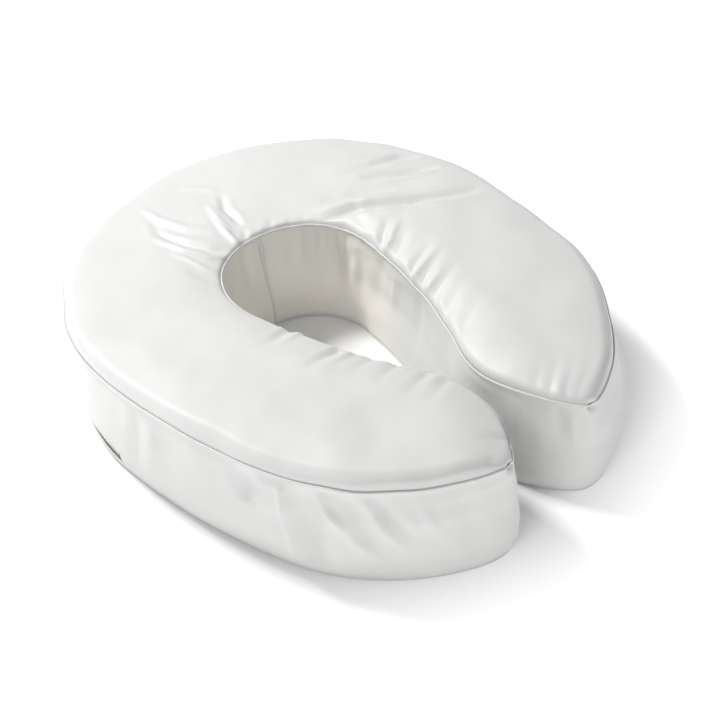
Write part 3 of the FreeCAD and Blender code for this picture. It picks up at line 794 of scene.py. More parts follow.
class Finishes:
    """Every finish on the seat, made once."""

    def __init__(self) -> None:
        """Makes the materials."""
        self.cover = CoatedCloth("polyurethane_coated_polyester", "dbdbda", 0.5, 0.4).make()
        self.base = CoatedCloth("coated_base_cloth", "e2e0dc", 0.6, 0.3, grain=1.4 * MM,
                                crease=25 * MM).make()
        # the band's hole walls are painted a lighter, warmer white: painted warm bounce light
        self.band = CoatedCloth("coated_polyester_with_painted_hole_bounce", "dbdbda", 0.5, 0.4,
                                hole_warm_bounce=0.8).make()
        self.seam = CoatedCloth("turned_seam_cloth", "dcdcda", 0.5, 0.4, crease=6 * MM).make()
        self.tape = WovenTape("woven_zip_tape", "e8e6e1", 0.85, 0.2, across=0.8 * MM,
                              along=0.8 * MM).make()
        self.webbing = WovenTape("polyester_webbing", "e6e3dd", 0.8, 0.25, across=2.0 * MM,
                                 along=1.1 * MM, depth=0.3 * MM).make()
        self.coil = Nylon("nylon_zip_coil", "eceae6", 0.35, 0.5).make()
        self.thread = SpunThread("spun_polyester_thread", "edeae4", 0.75, 0.25).make()
        self.hook = HookAndLoop("nylon_hook_tape", "e2dfd9", 0.6, 0.4, nap=1.5 * MM).make()
        self.loops = HookAndLoop("nylon_loop_tape", "e9e6e0", 0.95, 0.1).make()
        self.zinc = LacqueredZinc("white_lacquered_zinc", "e9e7e3", 0.3, 0.5).make()
        self.foam = OpenCellFoam("polyurethane_foam", "f0e9cc", 0.95, 0.2).make()


# ------------------------------------------------------------------ cover

def smooth_curve(value: float, knots: list[tuple[float, float]]) -> float:
    """Reads a smooth curve through rising knots of (position, height)."""
    if value <= knots[0][0]:
        return knots[0][1]
    for (x0, y0), (x1, y1) in zip(knots, knots[1:]):
        if value <= x1:
            return mix(y0, y1, ease((value - x0) / (x1 - x0)))
    return knots[-1][1]


def grid_normals(places: np.ndarray, closed_u: bool) -> np.ndarray:
    """Normals of a grid of places, by column and row."""
    if closed_u:
        around = np.roll(places, -1, 0) - np.roll(places, 1, 0)
    else:
        around = np.gradient(places, axis=0)
    down = np.gradient(places, axis=1)
    normals = np.cross(around, down)
    size = np.linalg.norm(normals, axis=2, keepdims=True)
    return normals / np.maximum(size, 1e-12)


@dataclass
class Cover:
    """The coated cloth cover: crowned top panel, band, base panel and their turned seams."""
    outline: Keyhole
    finishes: Finishes
    seam_height: float = 84 * MM
    crown_rise: float = 14.2 * MM
    outer_roll: float = 9.5 * MM
    inner_roll: float = 5.0 * MM
    groove: float = 0.45 * MM
    cloth: float = 1.0 * MM
    columns: int = 210
    top_columns: int = 300
    top_rows: int = 80
    band_rows: int = 38
    tip_reach: float = 0.045
    foot_lean: float = 8.0
    zip_top: float = 18 * MM
    window: float = math.radians(89.5)
    swell_reach: float = 38 * MM
    sunk: float = 0.42
    sunk_turn: float = math.radians(112)
    sunk_spot: tuple[float, float] = (-30 * MM, 20 * MM)
    lip: float = 0.5 * MM
    lip_reach: float = 2.2 * MM
    tray_x: tuple[float, float] = (67.5 * MM, 167.5 * MM)
    tray_y: tuple[float, float] = (-8.5 * MM, 48.5 * MM)
    tray_wall: float = 2.5 * MM
    tray_depth: float = 3.2
    base_rows: int = 26

    def __post_init__(self) -> None:
        """Sets how the filled seat has settled."""
        self.settling = Settling(self.outline, self.seam_height)

    # ---- top panel

    def roll_off(self, away: np.ndarray, roll: float, slow: float) -> np.ndarray:
        """How the crown rises from a seam: a quick roll, then a slow swell.

        Args:
            away: Distances from the seam, in metres.
            roll: How far the quick roll reaches.
            slow: The share of the rise that the swell makes.

        Returns:
            Shares of the full rise.
        """
        run = np.clip(away / roll, 0, 1)
        quick = (1 - (1 - run) ** 2.2) ** 0.5
        rest = np.clip(away / self.swell_reach, 0, 1)
        return (1 - slow) * quick + slow * rest * (2 - rest)

    def top_places(self) -> tuple[np.ndarray, np.ndarray]:
        """The top panel's shape.

        Returns:
            Places by column and row, from the outer seam to the inner one, and each place's
            distance from the seam.
        """
        ring, _ = self.outline.stations(self.top_columns, self.groove)
        outer, inner = self.outline.seams(ring)
        share = np.linspace(0, 1, self.top_rows + 1)
        # rows lie closer together near both seams
        share = 0.45 * share + 0.55 * (0.5 - 0.5 * np.cos(np.pi * share))
        places = panel_between(outer, inner, share)
        flat = places.reshape(-1, 3)
        to_outer = self.outline.distance(flat, self.groove, True)
        to_inner = self.outline.distance(flat, self.groove, False)
        rise = (self.roll_off(to_outer, self.outer_roll, 0.20)
                * self.roll_off(to_inner, self.inner_roll, 0.55))
        away = np.minimum(to_outer, to_inner).reshape(places.shape[:2])
        # the foam has sunk along the rear, most at the left
        turn = np.arctan2(flat[:, 0] - self.sunk_spot[0], flat[:, 1] - self.sunk_spot[1])
        rise *= 1 - self.sunk * (1 - np.clip(np.abs(turn) / self.sunk_turn, 0, 1) ** 2) ** 1.4
        places[:, :, 2] = self.seam_height + 0.2 * MM + self.crown_rise * rise.reshape(away.shape)
        # the full panel leans out over its seams
        over = self.lip * np.clip(1 - np.abs(away - self.lip_reach) / self.lip_reach, 0, 1)
        side = np.where(to_outer < to_inner, 1, -1).reshape(away.shape)
        across = outer - inner
        across /= np.maximum(np.linalg.norm(across, axis=1, keepdims=True), 1e-9)
        places += (over * side)[:, :, None] * across[:, None]
        return places, away

    def build_top(self) -> bpy.types.Object:
        """Builds the crowned top panel with its folds."""
        places, away = self.top_places()
        normals = grid_normals(places, False)
        normals[normals[:, :, 2] < 0] *= -1
        points, out = places.reshape(-1, 3), normals.reshape(-1, 3)
        lift = lift_by(TOP_FOLDS, points)
        lift += soft_waves(points, 48 * MM, 0.8 * MM, 3.1)
        lift += soft_waves(points, 17 * MM, 0.30 * MM, 8.7)
        lift *= np.clip(away.reshape(-1) / (3.5 * MM), 0, 1) ** 0.8
        places = (points + out * lift[:, None]).reshape(places.shape)
        self.settling.move(places)
        uv = np.zeros((*places.shape[:2], 2))
        uv[:, :, 0] = np.linspace(-0.5, 0.5, places.shape[0])[:, None]
        uv[:, :, 1] = np.linspace(0, 0.11, places.shape[1])[None]
        bm = grid_mesh(places, False, False, uv)
        face_out(bm, Vector((0, 0, -1)))
        top = new_piece("cover_top_panel", bm)
        add_wall(top, self.cloth)
        return fit_out(top, self.finishes.cover, ROOT, "coated_cover", "top_panel")

    # ---- band

    def swell(self, angle: float, outside: float, height: float) -> float:
        """How far the band stands out from the seam line.

        Args:
            angle: Angle from the rear, in radians, for the outside wall.
            outside: 1 on the outside wall and 0 on the hole and slot walls.
            height: Height, in millimetres.

        Returns:
            The distance, in metres, outwards.
        """
        plain = smooth_curve(height, [(1.5, -1.3), (5, 0.9), (14, 2.7), (32, 3.9), (55, 3.1),
                                      (74, 1.2), (82, 0.1), (84.4, 0.15)])
        zipped = smooth_curve(height, [(1.5, -0.4), (5, 0.9), (18, 1.9), (30, 3.4), (44, 3.9),
                                       (58, 3.2), (74, 1.3), (82, 0.1), (84.4, 0.15)])
        walls = smooth_curve(height, [(1.5, self.foot_lean - 1.2), (6, self.foot_lean),
                                      (20, self.foot_lean), (50, 2.4), (72, 0.6), (82, -0.1),
                                      (84.4, 0.1)])
        front = ease((abs(angle) - self.window + 0.02) / 0.16)
        return mix(walls, mix(zipped, plain, front), outside) * MM

    def lean_at(self, station: int, count: int) -> float:
        """How far a station's foot leans out of the seam line, in millimetres."""
        tip = min(abs(station - count // 4), abs(station - 3 * count // 4))
        if count // 4 <= station <= 3 * count // 4:
            return 0.0
        hole = ease((tip / (count / 4) - 0.42) / 0.2)
        return self.foot_lean * ease(tip / (count / 12)) * mix(0.65, 1.0, hole)

    def band_places(self) -> np.ndarray:
        """The band's shape by station and height."""
        ring, out = self.outline.stations(self.columns)
        n = self.columns
        top, bottom = [84.4, 82.5, 80], [18, 15, 12, 9, 6.5, 4.6, 3.0, 2.0]
        heights = top + list(np.linspace(76, 22, self.band_rows - 9)) + bottom
        places = np.zeros((4 * n, len(heights), 3))
        for k in range(4 * n):
            angle = math.atan2(ring[k, 0], ring[k, 1] - self.outline.rear.y)
            outside = 1.0 if n <= k <= 3 * n else 1 - self.lean_at(k, 4 * n) / self.foot_lean
            for row, height in enumerate(heights):
                stand = self.swell(angle, outside, height)
                places[k, row] = ring[k] + out[k] * stand
                places[k, row, 2] = height * MM
        self.round_tips(places)
        return places

    def round_tips(self, places: np.ndarray) -> None:
        """Softens the upright fold at each tip, more so away from the top seam."""
        depth = np.clip((self.seam_height - places[:, :, 2]) / (40 * MM), 0, 1) ** 0.8
        count = len(places) // 4
        reach = max(int(count * self.tip_reach), 2)
        near = np.zeros(len(places))
        for tip in (count, 3 * count):
            for k in range(-reach, reach + 1):
                near[tip + k] = bump(k, reach + 1)
        weight = (near[:, None] * depth)[:, :, None]
        for _ in range(reach * 3):
            middle = (np.roll(places, 1, 0) + np.roll(places, -1, 0)) / 2
            middle[:, :, 2] = places[:, :, 2]
            places += (middle - places) * weight

    def build_band(self) -> bpy.types.Object:
        """Builds the band and cuts the zip's window in it."""
        places = self.band_places()
        normals = -grid_normals(places, True)
        ring, out = self.outline.stations(self.columns)
        facing = np.einsum("kij,kj->ki", normals, out)
        normals[facing < 0] *= -1
        points, away = places.reshape(-1, 3), normals.reshape(-1, 3)
        lift = lift_by(BAND_FOLDS, points)
        lift += soft_waves(points, 42 * MM, 1.5 * MM, 5.3)
        lift += soft_waves(points * np.array((1, 1, 0.6)), 22 * MM, 0.3 * MM, 1.2)
        # the seams and the zip hold the cloth still
        held = np.clip((self.seam_height - points[:, 2]) / (7 * MM), 0, 1)
        held *= np.clip((points[:, 2] - 2 * MM) / (6 * MM), 0, 1)
        behind = np.arctan2(np.abs(points[:, 0]), points[:, 1] - self.outline.rear.y)
        low = np.clip((points[:, 2] - self.zip_top) / (20 * MM), 0, 1)
        held = np.where(behind < self.window + 0.05, held * low, held)
        lift *= held
        places = (points + away * lift[:, None]).reshape(places.shape)
        self.settling.move(places)
        uv = np.zeros((*places.shape[:2], 2))
        uv[:, :, 0] = np.linspace(0, 1.7, places.shape[0])[:, None]
        uv[:, :, 1] = places[:, :, 2]
        bm = grid_mesh(places, True, False, uv)
        self.cut_window(bm)
        bmesh.ops.recalc_face_normals(bm, faces=bm.faces)
        lead = min(bm.faces, key=lambda f: f.calc_center_median().y)
        if lead.normal.y > 0:
            bmesh.ops.reverse_faces(bm, faces=bm.faces)
        band = new_piece("cover_band", bm)
        add_wall(band, self.cloth)
        return fit_out(band, self.finishes.band, ROOT, "coated_cover", "side_band")

    def cut_window(self, bm: bmesh.types.BMesh) -> None:
        """Opens the band low round the rear, where the zip shows."""
        centre = self.outline.rear
        for side in (1, -1):
            edge = Vector((side * math.sin(self.window), math.cos(self.window), 0))
            low = [f for f in bm.faces if f.calc_center_median().z < self.zip_top + 6 * MM
                   and f.calc_center_median().x * side > 120 * MM]
            parts = {*low, *(e for f in low for e in f.edges), *(v for f in low for v in f.verts)}
            bmesh.ops.bisect_plane(bm, geom=list(parts), plane_co=centre,
                                   plane_no=Vector((-edge.y, edge.x, 0)), dist=1e-6)
        gone = []
        for face in bm.faces:
            middle = face.calc_center_median()
            turn = math.atan2(abs(middle.x), middle.y - centre.y)
            far = math.hypot(middle.x, middle.y - centre.y) > 120 * MM
            if middle.z < self.zip_top and turn < self.window and far:
                gone.append(face)
        bmesh.ops.delete(bm, geom=gone, context="FACES")

    # ---- seams and the smaller cloth pieces

    def ring(self, name: str, profile: list[tuple[float, float]], ripple: float,
             seed: float) -> bpy.types.Object:
        """Sweeps a closed profile all round the outline.

        Args:
            name: The piece's name.
            profile: Points of (distance outwards, height), in millimetres.
            ripple: How unevenly the seam lies, in metres.
            seed: Shifts the unevenness.

        Returns:
            The new piece.
        """
        ring, out = self.outline.stations(self.columns)
        places = np.zeros((len(ring), len(profile), 3))
        for k in range(len(ring)):
            spot = Vector(ring[k]) / (22 * MM) + Vector((seed, 0, 0))
            sway = noise.noise(spot) * ripple
            lift = noise.noise(spot + Vector((0, 0, 7))) * ripple
            for row, (offset, height) in enumerate(profile):
                stand = offset + (self.lean_at(k, len(ring)) if height < 10 else 0.0)
                places[k, row] = ring[k] + out[k] * (stand * MM + sway)
                places[k, row, 2] = height * MM + lift
        self.round_tips(places)
        self.settling.move(places)
        bm = grid_mesh(places, True, True)
        bmesh.ops.recalc_face_normals(bm, faces=bm.faces)
        return new_piece(name, bm)

    def build_seams(self) -> None:
        """Builds both turned seams: two rolled folds with a deep line between them."""
        top = [(-0.6, 83.2), (0.2, 83.3), (0.65, 83.9), (0.85, 84.7), (0.7, 85.5), (0.2, 85.95),
               (-0.35, 85.8), (-0.75, 85.2), (-1.0, 84.4), (-1.6, 84.1), (-1.8, 83.5), (-1.2, 83.1)]
        seam = self.ring("turned_top_seam", top, 0.12 * MM, 2.0)
        fit_out(seam, self.finishes.seam, ROOT, "seam_edge", "top_seam")
        base = [(-2.4, 0.9), (-1.7, 0.35), (-0.9, 0.4), (-0.45, 0.9), (-0.6, 1.5), (-1.1, 1.8),
                (-0.8, 2.1), (-0.6, 2.6), (-1.0, 3.1), (-1.8, 3.1), (-2.4, 2.2)]
        low = self.ring("turned_base_seam", base, 0.12 * MM, 6.0)
        fit_out(low, self.finishes.seam, ROOT, "seam_edge", "base_seam")

    def build_base(self) -> bpy.types.Object:
        """Builds the base panel with a shallow pocket over each strap pair."""
        ring, out = self.outline.stations(self.columns, 1.2 * MM)
        lean = np.array([self.lean_at(k, len(ring)) for k in range(len(ring))]) * MM
        ring = (ring + out * lean[:, None])[:, None]
        self.round_tips(ring)
        outer, inner = self.outline.seams(ring[:, 0])
        places = panel_between(outer, inner, np.linspace(0, 1, self.base_rows + 1))
        bm = grid_mesh(places, False, False, places[:, :, :2].copy())
        wall, (low_x, high_x), (low_y, high_y) = self.tray_wall, self.tray_x, self.tray_y
        for side in (1, -1):
            for x in (low_x, low_x + wall, high_x, high_x - wall):
                cut_across(bm, (side * x, 0, 0), (1, 0, 0))
        for y in (low_y, low_y + wall, high_y, high_y - wall):
            cut_across(bm, (0, y, 0), (0, 1, 0))
        for vertex in bm.verts:
            inside = min(abs(vertex.co.x) - low_x, high_x - abs(vertex.co.x),
                         vertex.co.y - low_y, high_y - vertex.co.y)
            flat = 0.35 + 0.25 * noise.noise(vertex.co / (30 * MM))
            vertex.co.z = (flat + self.tray_depth * min(max(inside / wall, 0), 1)) * MM
        face_out(bm, Vector((0, 0, 1)))
        base = new_piece("cover_base_panel", bm)
        add_wall(base, 0.8 * self.cloth)
        return fit_out(base, self.finishes.base, ROOT, "base_cloth", "base_panel")

    def build_lower_strip(self) -> bpy.types.Object:
        """Builds the narrow strip of band under the zip."""
        heights = (3.0, 4.2, 5.6, 6.6, 7.0)
        places = self.rear_places(heights, lambda h: 0.5 + 0.3 * (h - 3) / 4, self.window, 200)
        bm = grid_mesh(places, False, False)
        face_out(bm, Vector((0, self.outline.rear.y, 5 * MM)))
        strip = new_piece("cover_lower_band_strip", bm)
        add_wall(strip, self.cloth)
        return fit_out(strip, self.finishes.cover, ROOT, "coated_cover", "lower_band_strip")

    def rear_places(self, heights: tuple[float, ...], stand: Callable[[float], float],
                    reach: float, columns: int) -> np.ndarray:
        """Places on an upright strip round the rear.

        Args:
            heights: Heights of its rows, in millimetres.
            stand: A function from a height to the distance outwards, in millimetres.
            reach: How far it goes each way from the rear, in radians.
            columns: How many columns it has.

        Returns:
            Places by column and row.
        """
        centre, radius = self.outline.rear, self.outline.width / 2
        places = np.zeros((columns + 1, len(heights), 3))
        for k in range(columns + 1):
            angle = mix(-reach, reach, k / columns)
            for row, height in enumerate(heights):
                far = radius + stand(height) * MM
                places[k, row] = (centre.x + far * math.sin(angle),
                                  centre.y + far * math.cos(angle), height * MM)
        return places

    def build_join(self) -> bpy.types.Object:
        """Builds the band's upright join, a rolled seam on the hole's rear wall."""
        low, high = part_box("band_join_seam")
        middle = (low + high) / 2
        centre = self.outline.hole
        turn = math.atan2(middle.x - centre.x, middle.y - centre.y)
        radius = self.outline.hole_radius
        profile = [(-1.6, -0.6), (-1.0, 0.5), (-0.45, 0.75), (0.0, -0.1), (0.45, 0.75), (1.0, 0.5),
                   (1.6, -0.6)]
        rows = 28
        places = np.zeros((len(profile), rows + 1, 3))
        for i, (across, stand) in enumerate(profile):
            for row in range(rows + 1):
                height = mix(3.0, 84.0, row / rows)
                bow = self.swell(0, 0, height) / MM
                far = radius - (bow + stand) * MM
                angle = turn + across * MM / radius
                places[i, row] = (centre.x + far * math.sin(angle),
                                  centre.y + far * math.cos(angle), height * MM)
        bm = grid_mesh(places, False, False)
        face_out(bm, Vector((middle.x * 1.2, middle.y + 40 * MM, middle.z)))
        join = new_piece("band_upright_join", bm)
        add_levels(join, 1)
        add_wall(join, 0.6 * MM)
        return fit_out(join, self.finishes.seam, ROOT, "seam_edge", "band_join_seam")

    def build_foam(self) -> bpy.types.Object:
        """Builds the foam core, a closed horseshoe a little inside the cover."""
        # insets and heights in millimetres: the underside stays clear of the strap trays
        profile = [(8, 5.4), (6, 8.5), (6, 30), (6, 60), (6, 76), (7.5, 82), (12, 85.5),
                   (18, 86)]
        outer_rows, inner_rows = [], []
        for inset, height in profile:
            ring, _ = self.outline.stations(self.columns // 2, inset * MM)
            for rows, line in zip((outer_rows, inner_rows), self.outline.seams(ring)):
                line = line.copy()
                line[:, 2] = height * MM
                rows.append(line)
        across = [outer_rows[-1] * (1 - t) + inner_rows[-1] * t for t in (0.2, 0.4, 0.6, 0.8)]
        under = [inner_rows[0] * (1 - t) + outer_rows[0] * t for t in (0.25, 0.5, 0.75)]
        places = np.stack(outer_rows + across + inner_rows[::-1] + under, axis=1)
        self.settling.move(places)
        bm = grid_mesh(places, False, True)
        bmesh.ops.recalc_face_normals(bm, faces=bm.faces)
        foam = new_piece("foam_core_block", bm)
        return fit_out(foam, self.finishes.foam, ROOT, "core_foam", "foam_core")

    def build(self) -> None:
        """Builds every piece of the cover and its core."""
        self.build_top()
        self.build_band()
        self.build_lower_strip()
        self.build_base()
        self.build_seams()
        self.build_join()
        self.build_foam()


RIDGE, HOLLOW = FoldShape.RIDGE, FoldShape.HOLLOW
SEAM = FoldFade.FROM_START

TOP_FOLDS: list[Fold] = [
    # long drag line from the hole's rear to the right shoulder
    Fold(((50, 71), (62, 65), (76, 58), (106, 31), (130, 14), (152, 0)), 4.0, 4.6, HOLLOW),
    Fold(((52, 82), (68, 74), (84, 65), (112, 39), (135, 22), (156, 8)), 1.4, 6.0),
    Fold(((54, 66), (66, 59), (80, 52), (110, 25), (134, 8), (156, -6)), 1.0, 3.4),
    Fold(((65, 88), (90, 68), (112, 50)), 1.6, 5.0, HOLLOW),
    # drag lines at the rear right
    Fold(((106, 86), (128, 66), (148, 54), (158, 48)), 2.8, 4.2, HOLLOW),
    Fold(((112, 74), (130, 58), (150, 44)), 1.6, 4.6),
    Fold(((124, 95), (136, 88), (148, 82), (160, 74)), 2.2, 3.6, HOLLOW),
    Fold(((122, 103), (136, 96), (150, 88)), 1.2, 4.0),
    Fold(((96, 104), (120, 90), (134, 80)), 1.4, 5.0, HOLLOW),
    # deep pucker at the hole's rear left, and the lines that run into it
    Fold(((-13, 80), (-8, 88), (-2, 100), (3, 110)), 4.1, 3.2, HOLLOW, SEAM),
    Fold(((3, 110), (7, 126), (8, 138), (18, 156)), 2.0, 3.2, HOLLOW),
    Fold(((-6, 108), (-4, 124), (-1, 140), (2, 152)), 1.4, 4.0),
    Fold(((-14, 84), (-12, 96), (-10, 112), (-3, 146)), 1.8, 4.0),
    # short pleats behind the hole
    Fold(((10, 78), (17, 92), (28, 106)), 2.4, 3.4, HOLLOW, SEAM),
    Fold(((18, 76), (26, 86), (35, 97)), 2.1, 3.0, RIDGE, SEAM),
    Fold(((30, 70), (37, 78), (47, 88)), 1.4, 3.6, HOLLOW, SEAM),
    Fold(((3, 80), (9, 92), (16, 106)), 1.3, 3.4, RIDGE, SEAM),
    # curved drag lines at the rear left
    Fold(((-20, 92), (-34, 104), (-43, 122), (-48, 150), (-44, 168)), 1.8, 4.0, HOLLOW),
    Fold(((-24, 86), (-38, 97), (-49, 116), (-54, 146)), 1.3, 4.2),
    Fold(((-17, 128), (-28, 142), (-36, 166), (-36, 192)), 1.0, 4.5),
    Fold(((-22, 118), (-34, 134), (-42, 156), (-44, 178)), 0.9, 4.0, HOLLOW),
    Fold(((-41, 78), (-48, 88), (-54, 108), (-58, 122)), 1.0, 4.0),
    Fold(((-46, 66), (-54, 78), (-62, 96)), 0.7, 4.5, HOLLOW),
    Fold(((21, 159), (12, 176), (0, 188)), 0.8, 4.5),
    Fold(((-10, 113), (-6, 130), (-2, 149)), 0.9, 4.0, HOLLOW),
    # puckers along the right of the hole and the slot
    Fold(((50, 10), (62, 16), (76, 24), (88, 30)), 2.8, 4.0, HOLLOW, SEAM),
    Fold(((53, 3), (66, 8), (80, 16), (92, 22)), 1.5, 4.0, RIDGE, SEAM),
    Fold(((52, -8), (66, -2), (80, 6), (104, 4)), 0.9, 5.0, HOLLOW, SEAM),
    Fold(((50, -29), (60, -26), (72, -23), (84, -20)), 2.2, 4.4, HOLLOW, SEAM),
    Fold(((49, -36), (60, -34), (74, -31), (86, -28)), 1.2, 4.0, RIDGE, SEAM),
    Fold(((45, -46), (56, -43), (68, -39), (80, -34)), 1.9, 4.2, HOLLOW, SEAM),
    Fold(((44, -54), (56, -52), (70, -48)), 1.1, 4.0, RIDGE, SEAM),
    Fold(((38, -64), (52, -60), (66, -56), (80, -50)), 1.5, 4.6, HOLLOW, SEAM),
    Fold(((34, -82), (48, -78), (62, -72)), 1.0, 5.0, HOLLOW, SEAM),
    Fold(((28, -104), (42, -99), (56, -94)), 0.8, 5.0, HOLLOW, SEAM),
    # puckers along the left of the hole and the slot
    Fold(((-53, -14), (-64, -17), (-76, -19), (-88, -20)), 1.7, 3.8, HOLLOW, SEAM),
    Fold(((-52, -23), (-64, -25), (-78, -27)), 1.0, 3.8, RIDGE, SEAM),
    Fold(((-46, -57), (-58, -59), (-70, -60), (-84, -61)), 2.0, 4.2, HOLLOW, SEAM),
    Fold(((-44, -66), (-56, -68), (-70, -69)), 1.1, 4.0, RIDGE, SEAM),
    Fold(((-33, -80), (-46, -83), (-62, -86)), 1.1, 4.6, HOLLOW, SEAM),
    Fold(((-28, -98), (-42, -102), (-60, -108)), 1.2, 4.6, HOLLOW, SEAM),
    Fold(((-22, -121), (-36, -125), (-54, -131)), 1.3, 4.6, HOLLOW, SEAM),
    Fold(((-19, -136), (-34, -142), (-50, -148)), 0.8, 4.6, HOLLOW, SEAM),
    # gathers at the right arm's tip
    Fold(((16, -186), (24, -180), (36, -172), (44, -166)), 0.7, 4.5, HOLLOW, SEAM),
    Fold(((20, -194), (30, -187), (42, -180), (54, -174)), 0.9, 4.6, HOLLOW, SEAM),
    Fold(((24, -199), (34, -192), (46, -186)), 0.4, 4.6, RIDGE, SEAM),
    Fold(((27, -204), (38, -196), (50, -189), (62, -184)), 0.8, 5.2, HOLLOW, SEAM),
    Fold(((32, -210), (44, -203), (58, -196), (74, -188)), 0.7, 5.0, HOLLOW, SEAM),
    # gathers at the left arm's tip
    Fold(((-26, -203), (-36, -196), (-50, -188)), 1.1, 4.2, HOLLOW, SEAM),
    Fold(((-50, -209), (-56, -196), (-62, -184)), 0.8, 5.0, HOLLOW, SEAM),
]

BAND_FOLDS: list[Fold] = [
    # upright buckles at the left
    Fold(((-174, 8, 84), (-177, 10, 60), (-178, 18, 28), (-178, 22, 10)), 1.2, 7.5, HOLLOW),
    Fold(((-172, -8, 84), (-176, -6, 56), (-177, 0, 22)), 0.6, 9.0),
    Fold(((-166, -66, 80), (-169, -62, 50), (-168, -58, 16)), 0.8, 11.0, HOLLOW),
    # hollow under the seam with a fold beside it
    Fold(((-162, -84, 82), (-162, -91, 72), (-163, -90, 52)), 3.6, 9.5, HOLLOW),
    Fold(((-151, -116, 84), (-152, -119, 60), (-152, -121, 30), (-151, -122, 10)), 2.2, 6.0),
    # deep hollow and the slanting folds at its right
    Fold(((-148, -130, 82), (-147, -134, 60), (-147, -136, 36), (-146, -138, 10)), 5.8, 10.0,
         HOLLOW),
    Fold(((-143, -142, 84), (-139, -147, 66), (-134, -155, 56), (-129, -162, 40), (-122, -170, 26)),
         2.4, 5.0),
    Fold(((-134, -156, 84), (-129, -162, 72), (-124, -168, 47), (-115, -178, 24)), 2.6, 5.2,
         HOLLOW),
    Fold(((-126, -166, 84), (-121, -171, 72), (-117, -176, 54), (-106, -186, 32)), 2.2, 5.0),
    Fold(((-120, -172, 84), (-112, -181, 62), (-102, -190, 44)), 2.0, 4.8, HOLLOW),
    Fold(((-100, -191, 84), (-95, -196, 62), (-86, -202, 38)), 0.9, 6.0),
    Fold(((-72, -206, 80), (-70, -208, 50), (-68, -209, 18)), 1.2, 8.0, HOLLOW),
    # hole walls
    Fold(((59.5, 40, 84), (59.5, 42, 50), (59, 46, 12)), 2.0, 9.0),
    Fold(((55, 58, 84), (55, 60, 50), (54, 62, 14)), 2.4, 9.0, HOLLOW),
    Fold(((57, 12, 80), (57, 13, 50), (57, 16, 26)), 1.4, 9.0, HOLLOW),
    Fold(((49, 72, 84), (49, 73, 68), (48, 76, 48)), 1.7, 4.0),
    Fold(((56, 57, 85), (56, 57, 74), (56, 58, 60)), 1.8, 3.6),
    Fold(((39, 82, 85), (38, 83, 72), (38, 84, 54)), 1.8, 4.0, HOLLOW),
    Fold(((30, 88, 84), (30, 89, 64), (29, 90, 40)), 1.0, 5.0),
    Fold(((-8, 96, 84), (-9, 96, 66), (-10, 96, 40)), 1.6, 5.0, HOLLOW),
    Fold(((-30, 88, 84), (-30, 88, 60), (-31, 87, 30)), 0.9, 6.0, HOLLOW),
    Fold(((-52, 64, 84), (-52, 64, 60), (-53, 62, 30)), 0.9, 6.0),
    Fold(((-56, 20, 84), (-56, 18, 60), (-56, 16, 30)), 1.0, 6.0, HOLLOW),
    Fold(((53, -10, 82), (53, -8, 50), (53, -4, 26)), 0.9, 6.0),
    Fold(((44, -45, 84), (44, -44, 56), (44, -42, 26)), 0.9, 7.0, HOLLOW),
    # right arm's tip
    Fold(((24, -199, 84), (25, -200, 70), (26, -202, 52)), 1.2, 4.5, HOLLOW),
    Fold(((31, -207, 84), (30, -208, 68), (31, -209, 40)), 1.0, 4.5),
    Fold(((15, -180, 84), (15, -181, 60), (16, -183, 34)), 0.9, 6.0, HOLLOW),
    # outside of the right arm
    Fold(((150, -122, 84), (152, -120, 56), (152, -118, 20)), 1.4, 7.0, HOLLOW),
    Fold(((170, -40, 84), (172, -38, 56), (172, -36, 20)), 1.3, 7.0, HOLLOW),
    Fold(((120, -168, 84), (118, -172, 60), (112, -180, 34)), 1.4, 6.0),
    Fold(((174, 10, 84), (176, 14, 58), (176, 18, 26)), 1.1, 6.0),
]


# ------------------------------------------------------------------ zip

